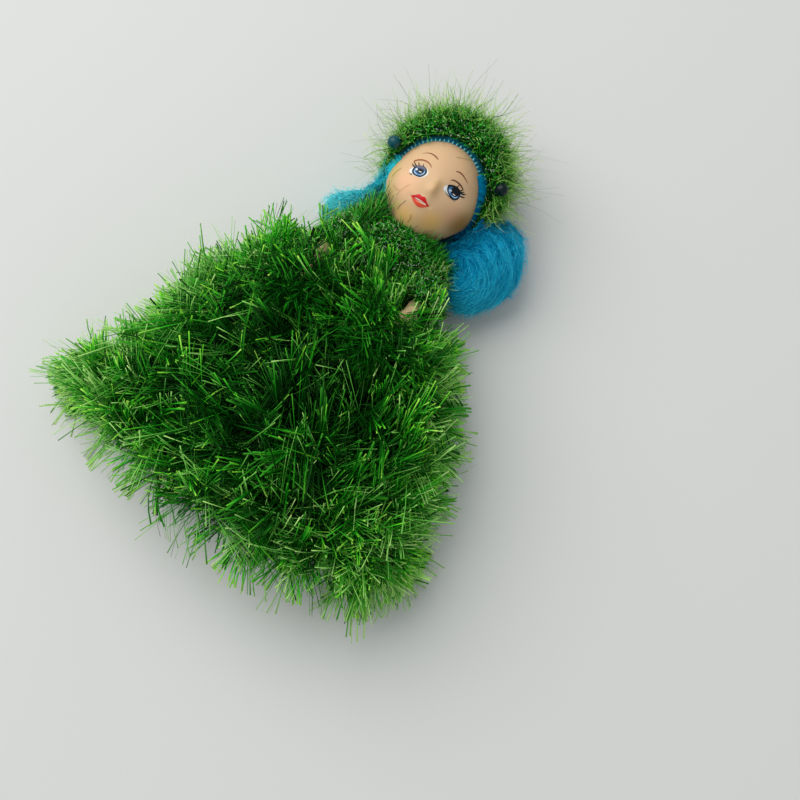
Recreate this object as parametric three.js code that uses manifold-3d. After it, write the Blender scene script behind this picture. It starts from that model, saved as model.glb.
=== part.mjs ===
// A small jointed vinyl doll lying on its back, dressed in a knitted gown with a shaggy
// eyelash-yarn skirt, a tinsel bodice and a tinsel cap held by two ball-headed pins.
// Millimetres. +X is the doll's left, +Y runs from the feet to the crown, +Z is up from the table.
import * as THREE from 'three';
import * as BufferGeometryUtils from 'three/addons/utils/BufferGeometryUtils.js';
import Module from 'manifold-3d';

const wasm = await Module();
wasm.setup();

// Driving sizes: the naked doll
const SHOULDER_Y = 28;
const SHOULDER_SEAT_X = 10;
const SHOULDER_SLOPE = 6.8;
const HIP_SEAT_X = 4.6;
const TORSO_WALL = 1.4;
const TORSO_SEAM_GAP = 0.1;
const NECK_RADIUS = 3.6;
const NECK_LENGTH = 5.6;
const NECK_KNOB_OVERHANG = 0.8;
const NECK_KNOB_HEIGHT = 1.8;
const HEAD_HALF_WIDTH = 13;
const HEAD_HALF_HEIGHT = 16.3;
const HEAD_HALF_DEPTH = 14;
const HEAD_WALL = 1.8;
const HEAD_SEAT_DEPTH = 4.7;
const HEAD_FORWARD = 2.4;
const HEAD_TILT_DEG = 2.8;
const HEAD_TURN_DEG = 5;
const CHEEK_FULLNESS = 0.9;
const CHIN_TAPER = 0.14;
const ARM_DISC_RADIUS = 4.2;
const ARM_DISC_THICKNESS = 2.8;
const ARM_PEG_RADIUS = 2;
const ARM_FLANGE_RADIUS = 2.6;
const ARM_REST_DEG = 35;
const ARM_LENGTH = 30;
const LEG_DISC_RADIUS = 6;
const LEG_DISC_THICKNESS = 2.9;
const LEG_PEG_RADIUS = 2.3;
const LEG_FLANGE_RADIUS = 3.2;
const LEG_REST_DEG = -7;
const LEG_LENGTH = 38.5;
const FOOT_LENGTH = 11;
const FOOT_HALF_WIDTH = 2.7;
const HEEL_LENGTH = 3;
const FLANGE_THICKNESS = 0.8;

// Driving sizes: hair, cap and pins
const HAIRLINE_SLOPE_DEG = 39.9;
const HAIRLINE_FORWARD = 3.3;
const HAIR_ROOT_CLEARANCE = 0.45;
const HAIR_ROOT_THICKNESS = 1.1;
const HAIR_PLUG_COUNT = 24;
const HAIR_PLUG_RADIUS = 0.55;
const HAIR_PLUG_ARC = 1.16;
const NAPE_BELOW_HEAD_CENTRE = 11;
const CAP_HALF_WIDTH = 18.5;
const CAP_HALF_HEIGHT = 20;
const CAP_HALF_DEPTH = 17.5;
const CAP_ABOVE_HEAD_CENTRE = 4.5;
const CAP_TO_LEFT = 1;
const CAP_PRESSED_THICKNESS = 0.5;
const CAP_RIM_SETBACK = 2.6;
const CAP_ROLL_RADIUS = 2.8;
const CAP_ROLL_STANDOFF = 3.6;
const CAP_ROLL_SETBACK = 2;
const CAP_EDGE_BELOW_HEAD_CENTRE = 1.8;
const CAP_EDGE_SLOPE_DEG = 22;
const PIN_BALL_RADIUS = 1.85;
const PIN_SHANK_RADIUS = 0.35;
const PIN_SHANK_LENGTH = 7;
const PIN_LEAN_DEG = 30;
const PIN_LEFT = { side: 1, turnDeg: 30.8, outward: 2.5, rise: 0.63 };
const PIN_RIGHT = { side: -1, turnDeg: 15.2, outward: 0.9, rise: 1.38 };
const HAIR_BUNCH_LEFT = { side: 1, outward: 22, below: 8.5, middleZ: 9.2, half: [11.5, 15.5, 9.4], leanDeg: 0 };
const HAIR_BUNCH_RIGHT = { side: -1, outward: 17.8, below: 11, middleZ: 8, half: [5.4, 12.5, 8], leanDeg: 18 };
const HAIR_TEMPLE = { outward: 14.4, below: 3.5, middleZ: 13.6, half: [4.4, 8.4, 6.8] };

// Driving sizes: the gown
const BODICE_THICKNESS = 1.8;
const COLLAR_THICKNESS = 2.4;
const COLLAR_BELOW_HEAD = 0.5;
const WAIST_Y = 19;
const SLEEVE_THICKNESS = 1.7;
const SLEEVE_LENGTH = 12.5;
const SLEEVE_HEAD_HEIGHT = 3.6;
const SKIRT_WALL = 2;
const SKIRT_WAIST_HALF = 12.6;
const SKIRT_HEM_HALF = 46.5;
const SKIRT_HEM_Y = -56;
const SKIRT_HEM_ARC_RADIUS = 70;
const SKIRT_FLARE_POWER = 0.55;
const SKIRT_WAIST_ABOVE_BODY = 8.3;
const SKIRT_WAIST_BELOW_BODY = 10.1;
const SKIRT_HEM_TOP = 22;
const SKIRT_SWELL = 5;
const SKIRT_WIDEST_Z = 9;
const SKIRT_TOUCHES_TABLE_Y = 8;
const PILE_BACKING = 1;
const PILE_SPACING = 4;
const PILE_LENGTH = 16.5;
const PILE_ROOT_RADIUS = 0.85;
const PILE_SPLIT_Z = 12.5;
const PILE_LOWEST_ROOT_Z = 3.2;
const PILE_TABLE_CLEARANCE = 1;
const PILE_LEAN_AT_WAIST = 0.3;
const PILE_LEAN_TO_HEM = 0.8;
const PILE_SWAY = 0.14;
const PILE_FAN = 0.008;
const PILE_HEM_MARGIN = 1.5;
const PRESSED_INSIDE_HAND = 5.5;
const PRESSED_OUTSIDE_HAND = 9;
const PRESSED_BELOW_HAND = 11.4;

// Clearances
const GAP = 0.3;
const HOLE_CLEARANCE = 0.35;
const TURNING_CLEARANCE = 0.4;

// Places that follow from the sizes
const RADIANS = Math.PI / 180;
const FULL_TURN = 2 * Math.PI;
const FAR = 200;
const CAP_INSIDE_GROW = HAIR_ROOT_CLEARANCE + HAIR_ROOT_THICKNESS + HAIR_PLUG_RADIUS + GAP;
const HEAD_CENTRE_Z = HEAD_HALF_DEPTH + CAP_INSIDE_GROW + CAP_PRESSED_THICKNESS;
const BODY_Z = HEAD_CENTRE_Z - HEAD_FORWARD;
const NECK_BASE_Y = SHOULDER_Y + SHOULDER_SLOPE;
const NECK_KNOB_Y = NECK_BASE_Y + NECK_LENGTH;
const HEAD_PIVOT_Y = NECK_KNOB_Y + NECK_KNOB_HEIGHT / 2 - 1.8;
const HEAD_BOTTOM_Y = NECK_KNOB_Y - HEAD_SEAT_DEPTH;
const HEAD_CENTRE_Y = HEAD_BOTTOM_Y + HEAD_HALF_HEIGHT;
const BODICE_TOP_Y = HEAD_BOTTOM_Y - COLLAR_BELOW_HEAD;
const HAIRLINE_Z = HEAD_CENTRE_Z + HAIRLINE_FORWARD;
const HEM_ARC_CENTRE_Y = SKIRT_HEM_Y + SKIRT_HEM_ARC_RADIUS;
const HAND_Y = SHOULDER_Y - ARM_LENGTH * Math.cos(ARM_REST_DEG * RADIANS);
const HAND_X = SHOULDER_SEAT_X + 3;
const HAIRLINE_NORMAL = new THREE.Vector3(0, 0, 1)
  .applyAxisAngle(new THREE.Vector3(1, 0, 0), HAIRLINE_SLOPE_DEG * RADIANS);

// Closed meshes to solids and back

function solidOf(geometry) {
  const bare = geometry.clone();
  bare.deleteAttribute('normal');
  bare.deleteAttribute('uv');
  const merged = BufferGeometryUtils.mergeVertices(bare, 1e-4);
  return new wasm.Manifold(new wasm.Mesh({
    numProp: 3,
    vertProperties: new Float32Array(merged.attributes.position.array),
    triVerts: new Uint32Array(merged.index.array),
  }));
}

function geometryOf(solid) {
  const mesh = solid.getMesh();
  const geometry = new THREE.BufferGeometry();
  geometry.setAttribute('position', new THREE.BufferAttribute(mesh.vertProperties, 3));
  geometry.setIndex(new THREE.BufferAttribute(mesh.triVerts, 1));
  geometry.computeVertexNormals();
  return geometry;
}

function union(solids) {
  return solids.reduce((sum, next) => sum.add(next));
}

function largestPiece(solid) {
  return solid.decompose().reduce((best, next) => (next.volume() > best.volume() ? next : best));
}

function boxBetween(low, high) {
  const box = new THREE.BoxGeometry(high[0] - low[0], high[1] - low[1], high[2] - low[2]);
  box.translate((low[0] + high[0]) / 2, (low[1] + high[1]) / 2, (low[2] + high[2]) / 2);
  return solidOf(box);
}

// A cylinder along X from x0 to x1, centred on y and z
function discAlongX(x0, x1, y, z, radius, sides = 16) {
  const disc = new THREE.CylinderGeometry(radius, radius, Math.abs(x1 - x0), sides);
  disc.rotateZ(Math.PI / 2);
  disc.translate((x0 + x1) / 2, y, z);
  return solidOf(disc);
}

// A closed skin over rings of points, with both ends fanned to their middle
function loft(rings) {
  const count = rings[0].length;
  const points = rings.flat();
  const triangles = [];
  for (let ring = 0; ring + 1 < rings.length; ring++) {
    for (let side = 0; side < count; side++) {
      const a = ring * count + side;
      const b = ring * count + (side + 1) % count;
      triangles.push(a, b, b + count, a, b + count, a + count);
    }
  }
  for (const [ring, first] of [[rings[0], 0], [rings.at(-1), (rings.length - 1) * count]]) {
    const middle = new THREE.Vector3();
    ring.forEach((point) => middle.addScaledVector(point, 1 / count));
    const hub = points.push(middle) - 1;
    for (let side = 0; side < count; side++) {
      const a = first + side;
      const b = first + (side + 1) % count;
      triangles.push(...(first === 0 ? [b, a, hub] : [a, b, hub]));
    }
  }
  let volume = 0;
  for (let i = 0; i < triangles.length; i += 3) {
    const [a, b, c] = [points[triangles[i]], points[triangles[i + 1]], points[triangles[i + 2]]];
    volume += a.dot(b.clone().cross(c));
  }
  if (volume < 0) triangles.reverse();
  const geometry = new THREE.BufferGeometry().setFromPoints(points);
  geometry.setIndex(triangles);
  return geometry;
}

// An oval ring across the Y direction
function oval(x, y, z, halfWidth, halfDepth, sides) {
  const ring = [];
  for (let side = 0; side < sides; side++) {
    const angle = (side / sides) * FULL_TURN;
    ring.push(new THREE.Vector3(x + halfWidth * Math.cos(angle), y, z + halfDepth * Math.sin(angle)));
  }
  return ring;
}

// Frames that turn with the limbs and the head

const headPlace = new THREE.Matrix4()
  .makeTranslation(0, HEAD_PIVOT_Y, BODY_Z)
  .multiply(new THREE.Matrix4().makeRotationZ(HEAD_TILT_DEG * RADIANS))
  .multiply(new THREE.Matrix4().makeRotationY(HEAD_TURN_DEG * RADIANS))
  .multiply(new THREE.Matrix4().makeTranslation(0, -HEAD_PIVOT_Y, -BODY_Z));
const shoulderPlace = new THREE.Matrix4()
  .makeTranslation(0, SHOULDER_Y, BODY_Z)
  .multiply(new THREE.Matrix4().makeRotationX(-ARM_REST_DEG * RADIANS));

function onHead(solid) {
  return solid.transform(headPlace.elements);
}

function inHeadFrame(solid) {
  return solid.transform(headPlace.clone().invert().elements);
}

function inShoulderFrame(solid) {
  return solid.transform(shoulderPlace.clone().invert().elements);
}

function belowTable() {
  return boxBetween([-FAR, -FAR, -FAR], [FAR, FAR, 0]);
}

// Torso: y, half width, half depth
const TORSO_STATIONS = [
  [-5.2, 6, 3.6],
  [-4.2, 8.6, 5.6],
  [-1.5, 10.3, 7.2],
  [2.5, 10.8, 7.6],
  [8, 10, 7.4],
  [14, 8.8, 6.9],
  [20, 9.6, 7.2],
  [SHOULDER_Y - 2, SHOULDER_SEAT_X + 0.6, 7],
  [SHOULDER_Y + 3, SHOULDER_SEAT_X, 6.2],
  [NECK_BASE_Y - 1.2, SHOULDER_SEAT_X - 3, 4.9],
  [NECK_BASE_Y, NECK_RADIUS + 0.6, NECK_RADIUS + 0.6],
];

function torsoForm(grow, sides = 16) {
  const rings = TORSO_STATIONS.map(([y, width, depth]) => (
    oval(0, y, BODY_Z, width + grow, depth + grow, sides)));
  if (grow < 0) {
    rings[0].forEach((point) => { point.y -= grow; });
    rings[1].forEach((point) => { point.y -= grow; });
  }
  return solidOf(loft(rings));
}

// The moulded neck post with the knob that the head snaps over
function neckPost() {
  const root = NECK_BASE_Y - 2 * TORSO_WALL;
  const top = NECK_KNOB_Y + NECK_KNOB_HEIGHT;
  const knobRadius = NECK_RADIUS + NECK_KNOB_OVERHANG;
  const profile = [
    [0, root],
    [NECK_RADIUS, root],
    [NECK_RADIUS, NECK_KNOB_Y - 0.75 * NECK_KNOB_OVERHANG],
    [knobRadius, NECK_KNOB_Y],
    [knobRadius, NECK_KNOB_Y + NECK_KNOB_HEIGHT / 2],
    [NECK_RADIUS - NECK_KNOB_OVERHANG, top],
    [0, top],
  ].map(([radius, y]) => new THREE.Vector2(radius, y));
  const post = new THREE.LatheGeometry(profile, 20);
  post.translate(0, 0, BODY_Z);
  return solidOf(post);
}

function hollowTorso() {
  const seat = (side, x, y, radius) => discAlongX(side * x, side * FAR, y, BODY_Z, radius);
  const hipRadius = LEG_DISC_RADIUS + TURNING_CLEARANCE;
  const armRadius = ARM_DISC_RADIUS + TURNING_CLEARANCE;
  let outside = torsoForm(0).add(neckPost());
  let cavity = torsoForm(-TORSO_WALL);
  for (const side of [1, -1]) {
    const bossRoot = side * (SHOULDER_SEAT_X - ARM_DISC_RADIUS);
    const boss = discAlongX(bossRoot, side * SHOULDER_SEAT_X, SHOULDER_Y, BODY_Z, ARM_DISC_RADIUS);
    const pocketEnd = side * (SHOULDER_SEAT_X - TORSO_WALL);
    const pocket = discAlongX(bossRoot, pocketEnd, SHOULDER_Y, BODY_Z, ARM_FLANGE_RADIUS + HOLE_CLEARANCE);
    const hipFloor = seat(side, HIP_SEAT_X - TORSO_WALL, 0, hipRadius + TORSO_WALL);
    const shoulderFloor = seat(side, SHOULDER_SEAT_X - TORSO_WALL, SHOULDER_Y, armRadius + TORSO_WALL);
    outside = outside.subtract(seat(side, HIP_SEAT_X, 0, hipRadius));
    outside = outside.subtract(seat(side, SHOULDER_SEAT_X, SHOULDER_Y, armRadius)).add(boss);
    cavity = cavity.subtract(hipFloor).subtract(shoulderFloor).add(pocket);
  }
  const legHole = discAlongX(-FAR, FAR, 0, BODY_Z, LEG_PEG_RADIUS + HOLE_CLEARANCE);
  const armHole = discAlongX(-FAR, FAR, SHOULDER_Y, BODY_Z, ARM_PEG_RADIUS + HOLE_CLEARANCE);
  return outside.subtract(cavity).subtract(legHole).subtract(armHole);
}

// Arm: distance below the shoulder as a share of its length, distance out from the seat,
// half width, half depth
const ARM_STATIONS = [
  [-0.13, 2.9, 1.2, 1.6],
  [-0.1, 2.9, 2.2, 2.9],
  [0, 3, 2.5, 3.9],
  [0.13, 3.7, 2.8, 3.4],
  [0.3, 4.6, 2.7, 2.9],
  [0.46, 5, 2.4, 2.6],
  [0.62, 4.6, 2.4, 2.5],
  [0.76, 3.9, 1.9, 1.9],
  [0.86, 3.4, 1.9, 2.7],
  [0.95, 2.9, 1.5, 2.3],
  [1, 2.6, 0.8, 1.3],
];
const THUMB_HALF_SIZES = [0.9, 2.1, 1.1];

// The arm hangs along -Y in its own frame, with the shoulder axis at y = 0, z = 0
function armForm(side, grow, sides = 12) {
  const rings = ARM_STATIONS.map(([share, out, width, depth]) => (
    oval(side * (SHOULDER_SEAT_X + out), -share * ARM_LENGTH, 0, width + grow, depth + grow, sides)));
  return solidOf(loft(rings));
}

// The flat disc, peg and retaining flange that turn in a socket whose seat is at seatX
function turningPeg(side, seatX, discThickness, discRadius, pegRadius, flangeRadius) {
  const face = seatX + GAP;
  const flangeX = seatX - TORSO_WALL - GAP;
  const disc = discAlongX(side * face, side * (seatX + discThickness), 0, 0, discRadius);
  const peg = discAlongX(side * (flangeX - FLANGE_THICKNESS / 2), side * (face + GAP), 0, 0, pegRadius);
  const flange = discAlongX(side * (flangeX - FLANGE_THICKNESS), side * flangeX, 0, 0, flangeRadius);
  return disc.add(peg).add(flange);
}

// The space of the arm as it lies on the lap, grown by a distance, with its disc
function armAtRest(side, grow) {
  const from = side * (SHOULDER_SEAT_X - GAP);
  const disc = discAlongX(from, side * (SHOULDER_SEAT_X + ARM_DISC_THICKNESS), 0, 0, ARM_DISC_RADIUS + grow);
  return armForm(side, grow).add(disc).transform(shoulderPlace.elements);
}

function sleeveSpan(grow) {
  return boxBetween([-FAR, -SLEEVE_LENGTH - grow, -FAR], [FAR, SLEEVE_HEAD_HEIGHT + grow, FAR]);
}

function sleeveEnvelope(side, grow) {
  const tube = armForm(side, GAP + SLEEVE_THICKNESS + grow).intersect(sleeveSpan(grow));
  return tube.transform(shoulderPlace.elements).add(armAtRest(side, grow));
}

function arm(side) {
  const thumb = new THREE.SphereGeometry(1, 8, 6);
  thumb.scale(...THUMB_HALF_SIZES);
  thumb.rotateX(-0.5);
  thumb.translate(side * HAND_X, -0.83 * ARM_LENGTH, 2.5);
  const faceX = SHOULDER_SEAT_X + GAP;
  const inner = boxBetween([-faceX, -FAR, -FAR], [faceX, FAR, FAR]);
  return union([
    armForm(side, 0).subtract(inner),
    solidOf(thumb),
    turningPeg(side, SHOULDER_SEAT_X, ARM_DISC_THICKNESS, ARM_DISC_RADIUS, ARM_PEG_RADIUS, ARM_FLANGE_RADIUS),
  ]);
}

// Leg: distance below the hip as a share of its length, distance out from the seat,
// half width, half depth
const LEG_STATIONS = [
  [-0.14, 3, 1.8, 2.6],
  [-0.11, 3, 2.8, 4.6],
  [0, 3.2, 3.1, 5.9],
  [0.15, 2.3, 3.8, 5.3],
  [0.35, 1.8, 3.9, 4.6],
  [0.52, 1.6, 3.3, 3.8],
  [0.68, 1.6, 3.3, 3.9],
  [0.86, 1.5, 2.4, 2.7],
  [0.95, 1.5, 2.5, 2.9],
  [1, 1.5, 1.6, 2],
];
const THIGH_TOP_BELOW_HIP = 8;

function leg(side) {
  const rings = LEG_STATIONS.map(([share, out, width, depth]) => (
    oval(side * (HIP_SEAT_X + out), -share * LEG_LENGTH, 0, width, depth, 12)));
  const faceX = HIP_SEAT_X + GAP;
  const inner = boxBetween([-faceX, -THIGH_TOP_BELOW_HIP, -FAR], [faceX, FAR, FAR]);
  const foot = new THREE.SphereGeometry(1, 12, 8);
  foot.scale(FOOT_HALF_WIDTH, FOOT_HALF_WIDTH, FOOT_LENGTH / 2);
  foot.translate(side * (HIP_SEAT_X + 1.6), -LEG_LENGTH, FOOT_LENGTH / 2 - HEEL_LENGTH);
  return union([
    solidOf(loft(rings)).subtract(inner),
    solidOf(foot),
    turningPeg(side, HIP_SEAT_X, LEG_DISC_THICKNESS, LEG_DISC_RADIUS, LEG_PEG_RADIUS, LEG_FLANGE_RADIUS),
  ]);
}

// Head: an egg with round cheeks, small chin, shallow nose, lips and eye hollows
// Each form: place across and up as shares of the head's half sizes, spreads, height
const FACE_FORMS = [
  { name: 'nose', across: 0, up: -0.38, spreadX: 0.115, spreadY: 0.11, height: 1.3 },
  { name: 'lips', across: 0, up: -0.6, spreadX: 0.23, spreadY: 0.092, height: 0.45 },
  { name: 'chin', across: 0, up: -0.822, spreadX: 0.25, spreadY: 0.123, height: 0.7 },
  { name: 'left eye hollow', across: 0.41, up: -0.184, spreadX: 0.2, spreadY: 0.14, height: -0.6 },
  { name: 'right eye hollow', across: -0.41, up: -0.184, spreadX: 0.2, spreadY: 0.14, height: -0.6 },
];
const CHEEK_UP = -0.38;
const CHEEK_SPREAD = 0.3;

function bump(value, centre, spread) {
  return Math.exp(-(((value - centre) / spread) ** 2));
}

function headForm(grow, across, down) {
  const ball = new THREE.SphereGeometry(1, across, down);
  const place = ball.attributes.position;
  for (let i = 0; i < place.count; i++) {
    const [u, v, w] = [place.getX(i), place.getY(i), place.getZ(i)];
    const taper = 1 - CHIN_TAPER * Math.max(0, -v) ** 2;
    const cheek = CHEEK_FULLNESS * bump(v, CHEEK_UP, CHEEK_SPREAD) * (w > 0 ? 1 : 0.4);
    const faceShare = Math.max(0, w) ** 2;
    const relief = FACE_FORMS.reduce((sum, form) => (
      sum + form.height * bump(u, form.across, form.spreadX) * bump(v, form.up, form.spreadY)), 0);
    place.setXYZ(
      i,
      u * (HEAD_HALF_WIDTH * taper + cheek + grow),
      v * (HEAD_HALF_HEIGHT + grow),
      w * (HEAD_HALF_DEPTH + grow) + relief * faceShare,
    );
  }
  ball.translate(0, HEAD_CENTRE_Y, HEAD_CENTRE_Z);
  return solidOf(ball);
}

function headShell() {
  const holeRadius = NECK_RADIUS + TURNING_CLEARANCE;
  const neckHole = new THREE.CylinderGeometry(holeRadius, holeRadius, HEAD_HALF_HEIGHT, 20);
  neckHole.translate(0, HEAD_PIVOT_Y, BODY_Z);
  return headForm(0, 32, 24)
    .subtract(headForm(-HEAD_WALL, 14, 11))
    .subtract(solidOf(neckHole))
    .subtract(allPins(GAP));
}

// Everything on the crown's side of a plane parallel to the hairline
function behindHairline(setback) {
  return belowTable()
    .rotate([HAIRLINE_SLOPE_DEG, 0, 0])
    .translate([0, HEAD_CENTRE_Y, HAIRLINE_Z - setback / HAIRLINE_NORMAL.z]);
}

// A direction in the hairline's plane, turned from the doll's left towards the crown
function alongHairline(angle) {
  const towardsCrown = new THREE.Vector3(0, HAIRLINE_NORMAL.z, -HAIRLINE_NORMAL.y);
  return new THREE.Vector3(Math.cos(angle), 0, 0).addScaledVector(towardsCrown, Math.sin(angle));
}

// Where a ray in the hairline's plane leaves the head's egg, grown by a distance
function hairlinePoint(angle, grow) {
  const axes = new THREE.Vector3(HEAD_HALF_WIDTH + grow, HEAD_HALF_HEIGHT + grow, HEAD_HALF_DEPTH + grow);
  const from = new THREE.Vector3(0, 0, HAIRLINE_FORWARD);
  const direction = alongHairline(angle);
  const start = from.clone().divide(axes);
  const way = direction.clone().divide(axes);
  const a = way.lengthSq();
  const b = start.dot(way);
  const reach = (-b + Math.sqrt(b * b - a * (start.lengthSq() - 1))) / a;
  return from.addScaledVector(direction, reach).add(new THREE.Vector3(0, HEAD_CENTRE_Y, HEAD_CENTRE_Z));
}

// The rooted hair under the cap, with the row of plugs along its front edge
function hairRoots() {
  const inner = headForm(HAIR_ROOT_CLEARANCE, 18, 13);
  const outer = headForm(HAIR_ROOT_CLEARANCE + HAIR_ROOT_THICKNESS, 18, 13);
  const nape = boxBetween([-FAR, -FAR, -FAR], [FAR, HEAD_CENTRE_Y - NAPE_BELOW_HEAD_CENTRE, FAR]);
  const shell = outer.intersect(behindHairline(0));
  const plugs = [];
  for (let i = 0; i < HAIR_PLUG_COUNT; i++) {
    const share = (i + 0.5) / HAIR_PLUG_COUNT - 0.5;
    const point = hairlinePoint(
      (0.5 + share * HAIR_PLUG_ARC) * Math.PI, HAIR_ROOT_CLEARANCE + HAIR_ROOT_THICKNESS / 2);
    const plug = new THREE.OctahedronGeometry(HAIR_PLUG_RADIUS, 0);
    plug.translate(point.x, point.y, point.z);
    plugs.push(solidOf(plug));
  }
  return largestPiece(union([shell, ...plugs]).subtract(inner).subtract(nape).subtract(allPins(GAP)));
}

// The bag of the cap with the thick rolled edge that frames the forehead
function capBody(grow) {
  const ball = new THREE.SphereGeometry(1, 24, 16);
  ball.scale(CAP_HALF_WIDTH + grow, CAP_HALF_HEIGHT + grow, CAP_HALF_DEPTH + grow);
  ball.translate(CAP_TO_LEFT, HEAD_CENTRE_Y + CAP_ABOVE_HEAD_CENTRE, CAP_HALF_DEPTH);
  const radius = CAP_ROLL_RADIUS + grow;
  const section = new THREE.Shape(new THREE.Path().absarc(0, 0, radius, 0, FULL_TURN).getPoints(8).slice(1));
  const route = Array.from({ length: 12 }, (_, i) => rollMiddle((i / 12) * FULL_TURN));
  const extrudePath = new THREE.CatmullRomCurve3(route, true);
  const roll = new THREE.ExtrudeGeometry(section, { steps: 22, bevelEnabled: false, extrudePath });
  roll.translate(CAP_TO_LEFT, 0, 0);
  return solidOf(ball).intersect(behindHairline(CAP_RIM_SETBACK)).add(solidOf(roll)).intersect(aboveCapEdge(grow));
}

// The space above the cap's lower edge, which rises towards the face
function aboveCapEdge(grow) {
  const lower = CAP_EDGE_BELOW_HEAD_CENTRE + grow / Math.cos(CAP_EDGE_SLOPE_DEG * RADIANS);
  return belowTable()
    .rotate([90 - CAP_EDGE_SLOPE_DEG, 0, 0])
    .translate([0, HEAD_CENTRE_Y - lower, HEAD_CENTRE_Z]);
}

// A point on the middle line of the cap's rolled edge
function rollMiddle(angle) {
  return hairlinePoint(angle, CAP_ROLL_STANDOFF).addScaledVector(HAIRLINE_NORMAL, -CAP_ROLL_SETBACK);
}

// A ball-headed pin pushed into the cap's rolled edge, in the head's own frame
function pinForm({ side, turnDeg, outward, rise }, grow) {
  const turn = turnDeg * RADIANS;
  const angle = side > 0 ? turn : Math.PI - turn;
  const centre = rollMiddle(angle)
    .addScaledVector(alongHairline(angle), outward)
    .addScaledVector(HAIRLINE_NORMAL, CAP_ROLL_RADIUS + rise);
  const shankRadius = PIN_SHANK_RADIUS + grow;
  const ball = new THREE.SphereGeometry(PIN_BALL_RADIUS + grow, 10, 7);
  const shank = new THREE.CylinderGeometry(shankRadius, shankRadius, PIN_SHANK_LENGTH, 6);
  shank.translate(0, -PIN_SHANK_LENGTH / 2 - PIN_BALL_RADIUS * 0.6, 0);
  const lean = new THREE.Vector3(side * Math.tan(PIN_LEAN_DEG * RADIANS), 0, 0);
  const axis = HAIRLINE_NORMAL.clone().add(lean).normalize();
  const upright = new THREE.Quaternion().setFromUnitVectors(new THREE.Vector3(0, 1, 0), axis);
  return union([ball, shank].map((form) => {
    form.applyQuaternion(upright);
    form.translate(centre.x, centre.y, centre.z);
    return solidOf(form);
  }));
}

function allPins(grow) {
  return pinForm(PIN_LEFT, grow).add(pinForm(PIN_RIGHT, grow));
}

function cap() {
  return capBody(0)
    .subtract(headForm(CAP_INSIDE_GROW, 18, 13))
    .subtract(inHeadFrame(belowTable()))
    .subtract(allPins(GAP));
}

// Loose hair that comes out below the cap, runs down the temple and billows beside the neck
function hairBunch(bunch) {
  const { side } = bunch;
  const temple = { ...HAIR_TEMPLE, side, leanDeg: 0 };
  return largestPiece(hairLobe(bunch).add(hairLobe(temple))
    .subtract(onHead(headForm(CAP_INSIDE_GROW, 18, 13)))
    .subtract(onHead(capBody(GAP)))
    .subtract(belowTable())
    .subtract(sleeveEnvelope(side, GAP))
    .subtract(torsoForm(BODICE_THICKNESS + 2 * GAP)));
}

function hairLobe({ side, outward, below, middleZ, half, leanDeg }) {
  const ball = new THREE.SphereGeometry(1, 14, 11);
  const place = ball.attributes.position;
  for (let i = 0; i < place.count; i++) {
    const [u, v, w] = [place.getX(i), place.getY(i), place.getZ(i)];
    const wave = 1 + 0.05 * Math.sin(5 * v + 2 * u);
    place.setXYZ(i, u * wave, v, w * wave);
  }
  ball.scale(...half);
  ball.rotateZ(side * leanDeg * RADIANS);
  ball.translate(side * outward, HEAD_CENTRE_Y - below, middleZ);
  return solidOf(ball);
}

// The gown above the waist

function bodice() {
  const span = boxBetween([-FAR, WAIST_Y + GAP / 2, -FAR], [FAR, BODICE_TOP_Y, FAR]);
  const outside = torsoForm(BODICE_THICKNESS + GAP).add(aroundNeck(NECK_RADIUS + GAP + COLLAR_THICKNESS));
  const inside = torsoForm(GAP).add(aroundNeck(NECK_RADIUS + GAP));
  let knit = outside.intersect(span).subtract(inside);
  for (const side of [1, -1]) {
    const holeRoot = side * (SHOULDER_SEAT_X - ARM_DISC_RADIUS);
    const holeRadius = ARM_DISC_RADIUS + TURNING_CLEARANCE;
    const hole = discAlongX(holeRoot, side * FAR, SHOULDER_Y, BODY_Z, holeRadius);
    knit = knit.subtract(hole).subtract(armAtRest(side, GAP));
  }
  return largestPiece(knit);
}

function aroundNeck(radius) {
  const neck = new THREE.CylinderGeometry(radius, radius, SHOULDER_SLOPE, 20);
  neck.translate(0, BODICE_TOP_Y, BODY_Z);
  return solidOf(neck);
}

function sleeve(side) {
  const tube = armForm(side, GAP + SLEEVE_THICKNESS).intersect(sleeveSpan(0)).subtract(armForm(side, GAP));
  const body = inShoulderFrame(torsoForm(BODICE_THICKNESS + 2 * GAP));
  const discEnd = SHOULDER_SEAT_X + ARM_DISC_THICKNESS + GAP;
  const disc = discAlongX(0, side * discEnd, 0, 0, ARM_DISC_RADIUS + GAP);
  return largestPiece(tube.subtract(body).subtract(disc));
}

// The skirt: a bell whose half width and height follow the distance below the waist

function bellSize(y, grow) {
  const t = Math.max(0, (WAIST_Y - y) / (WAIST_Y - SKIRT_HEM_Y));
  const settled = Math.min(1, (WAIST_Y - y) / (WAIST_Y - SKIRT_TOUCHES_TABLE_Y));
  const waistTop = BODY_Z + SKIRT_WAIST_ABOVE_BODY;
  const waistBottom = BODY_Z - SKIRT_WAIST_BELOW_BODY;
  return {
    half: SKIRT_WAIST_HALF + (SKIRT_HEM_HALF - SKIRT_WAIST_HALF) * t ** SKIRT_FLARE_POWER + grow,
    top: waistTop + (SKIRT_HEM_TOP - waistTop) * t * t + SKIRT_SWELL * Math.sin(Math.PI * t) + grow,
    bottom: waistBottom * (1 - settled) - grow,
  };
}

function bellPoint(y, angle, grow) {
  const { half, top, bottom } = bellSize(y, grow);
  const rise = Math.sin(angle);
  const flattened = Math.min(1, 1.25 * Math.abs(rise) ** 0.7);
  const z = rise > 0
    ? SKIRT_WIDEST_Z + (top - SKIRT_WIDEST_Z) * rise
    : SKIRT_WIDEST_Z - (SKIRT_WIDEST_Z - bottom) * flattened;
  return new THREE.Vector3(half * Math.cos(angle), y, z);
}

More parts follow.
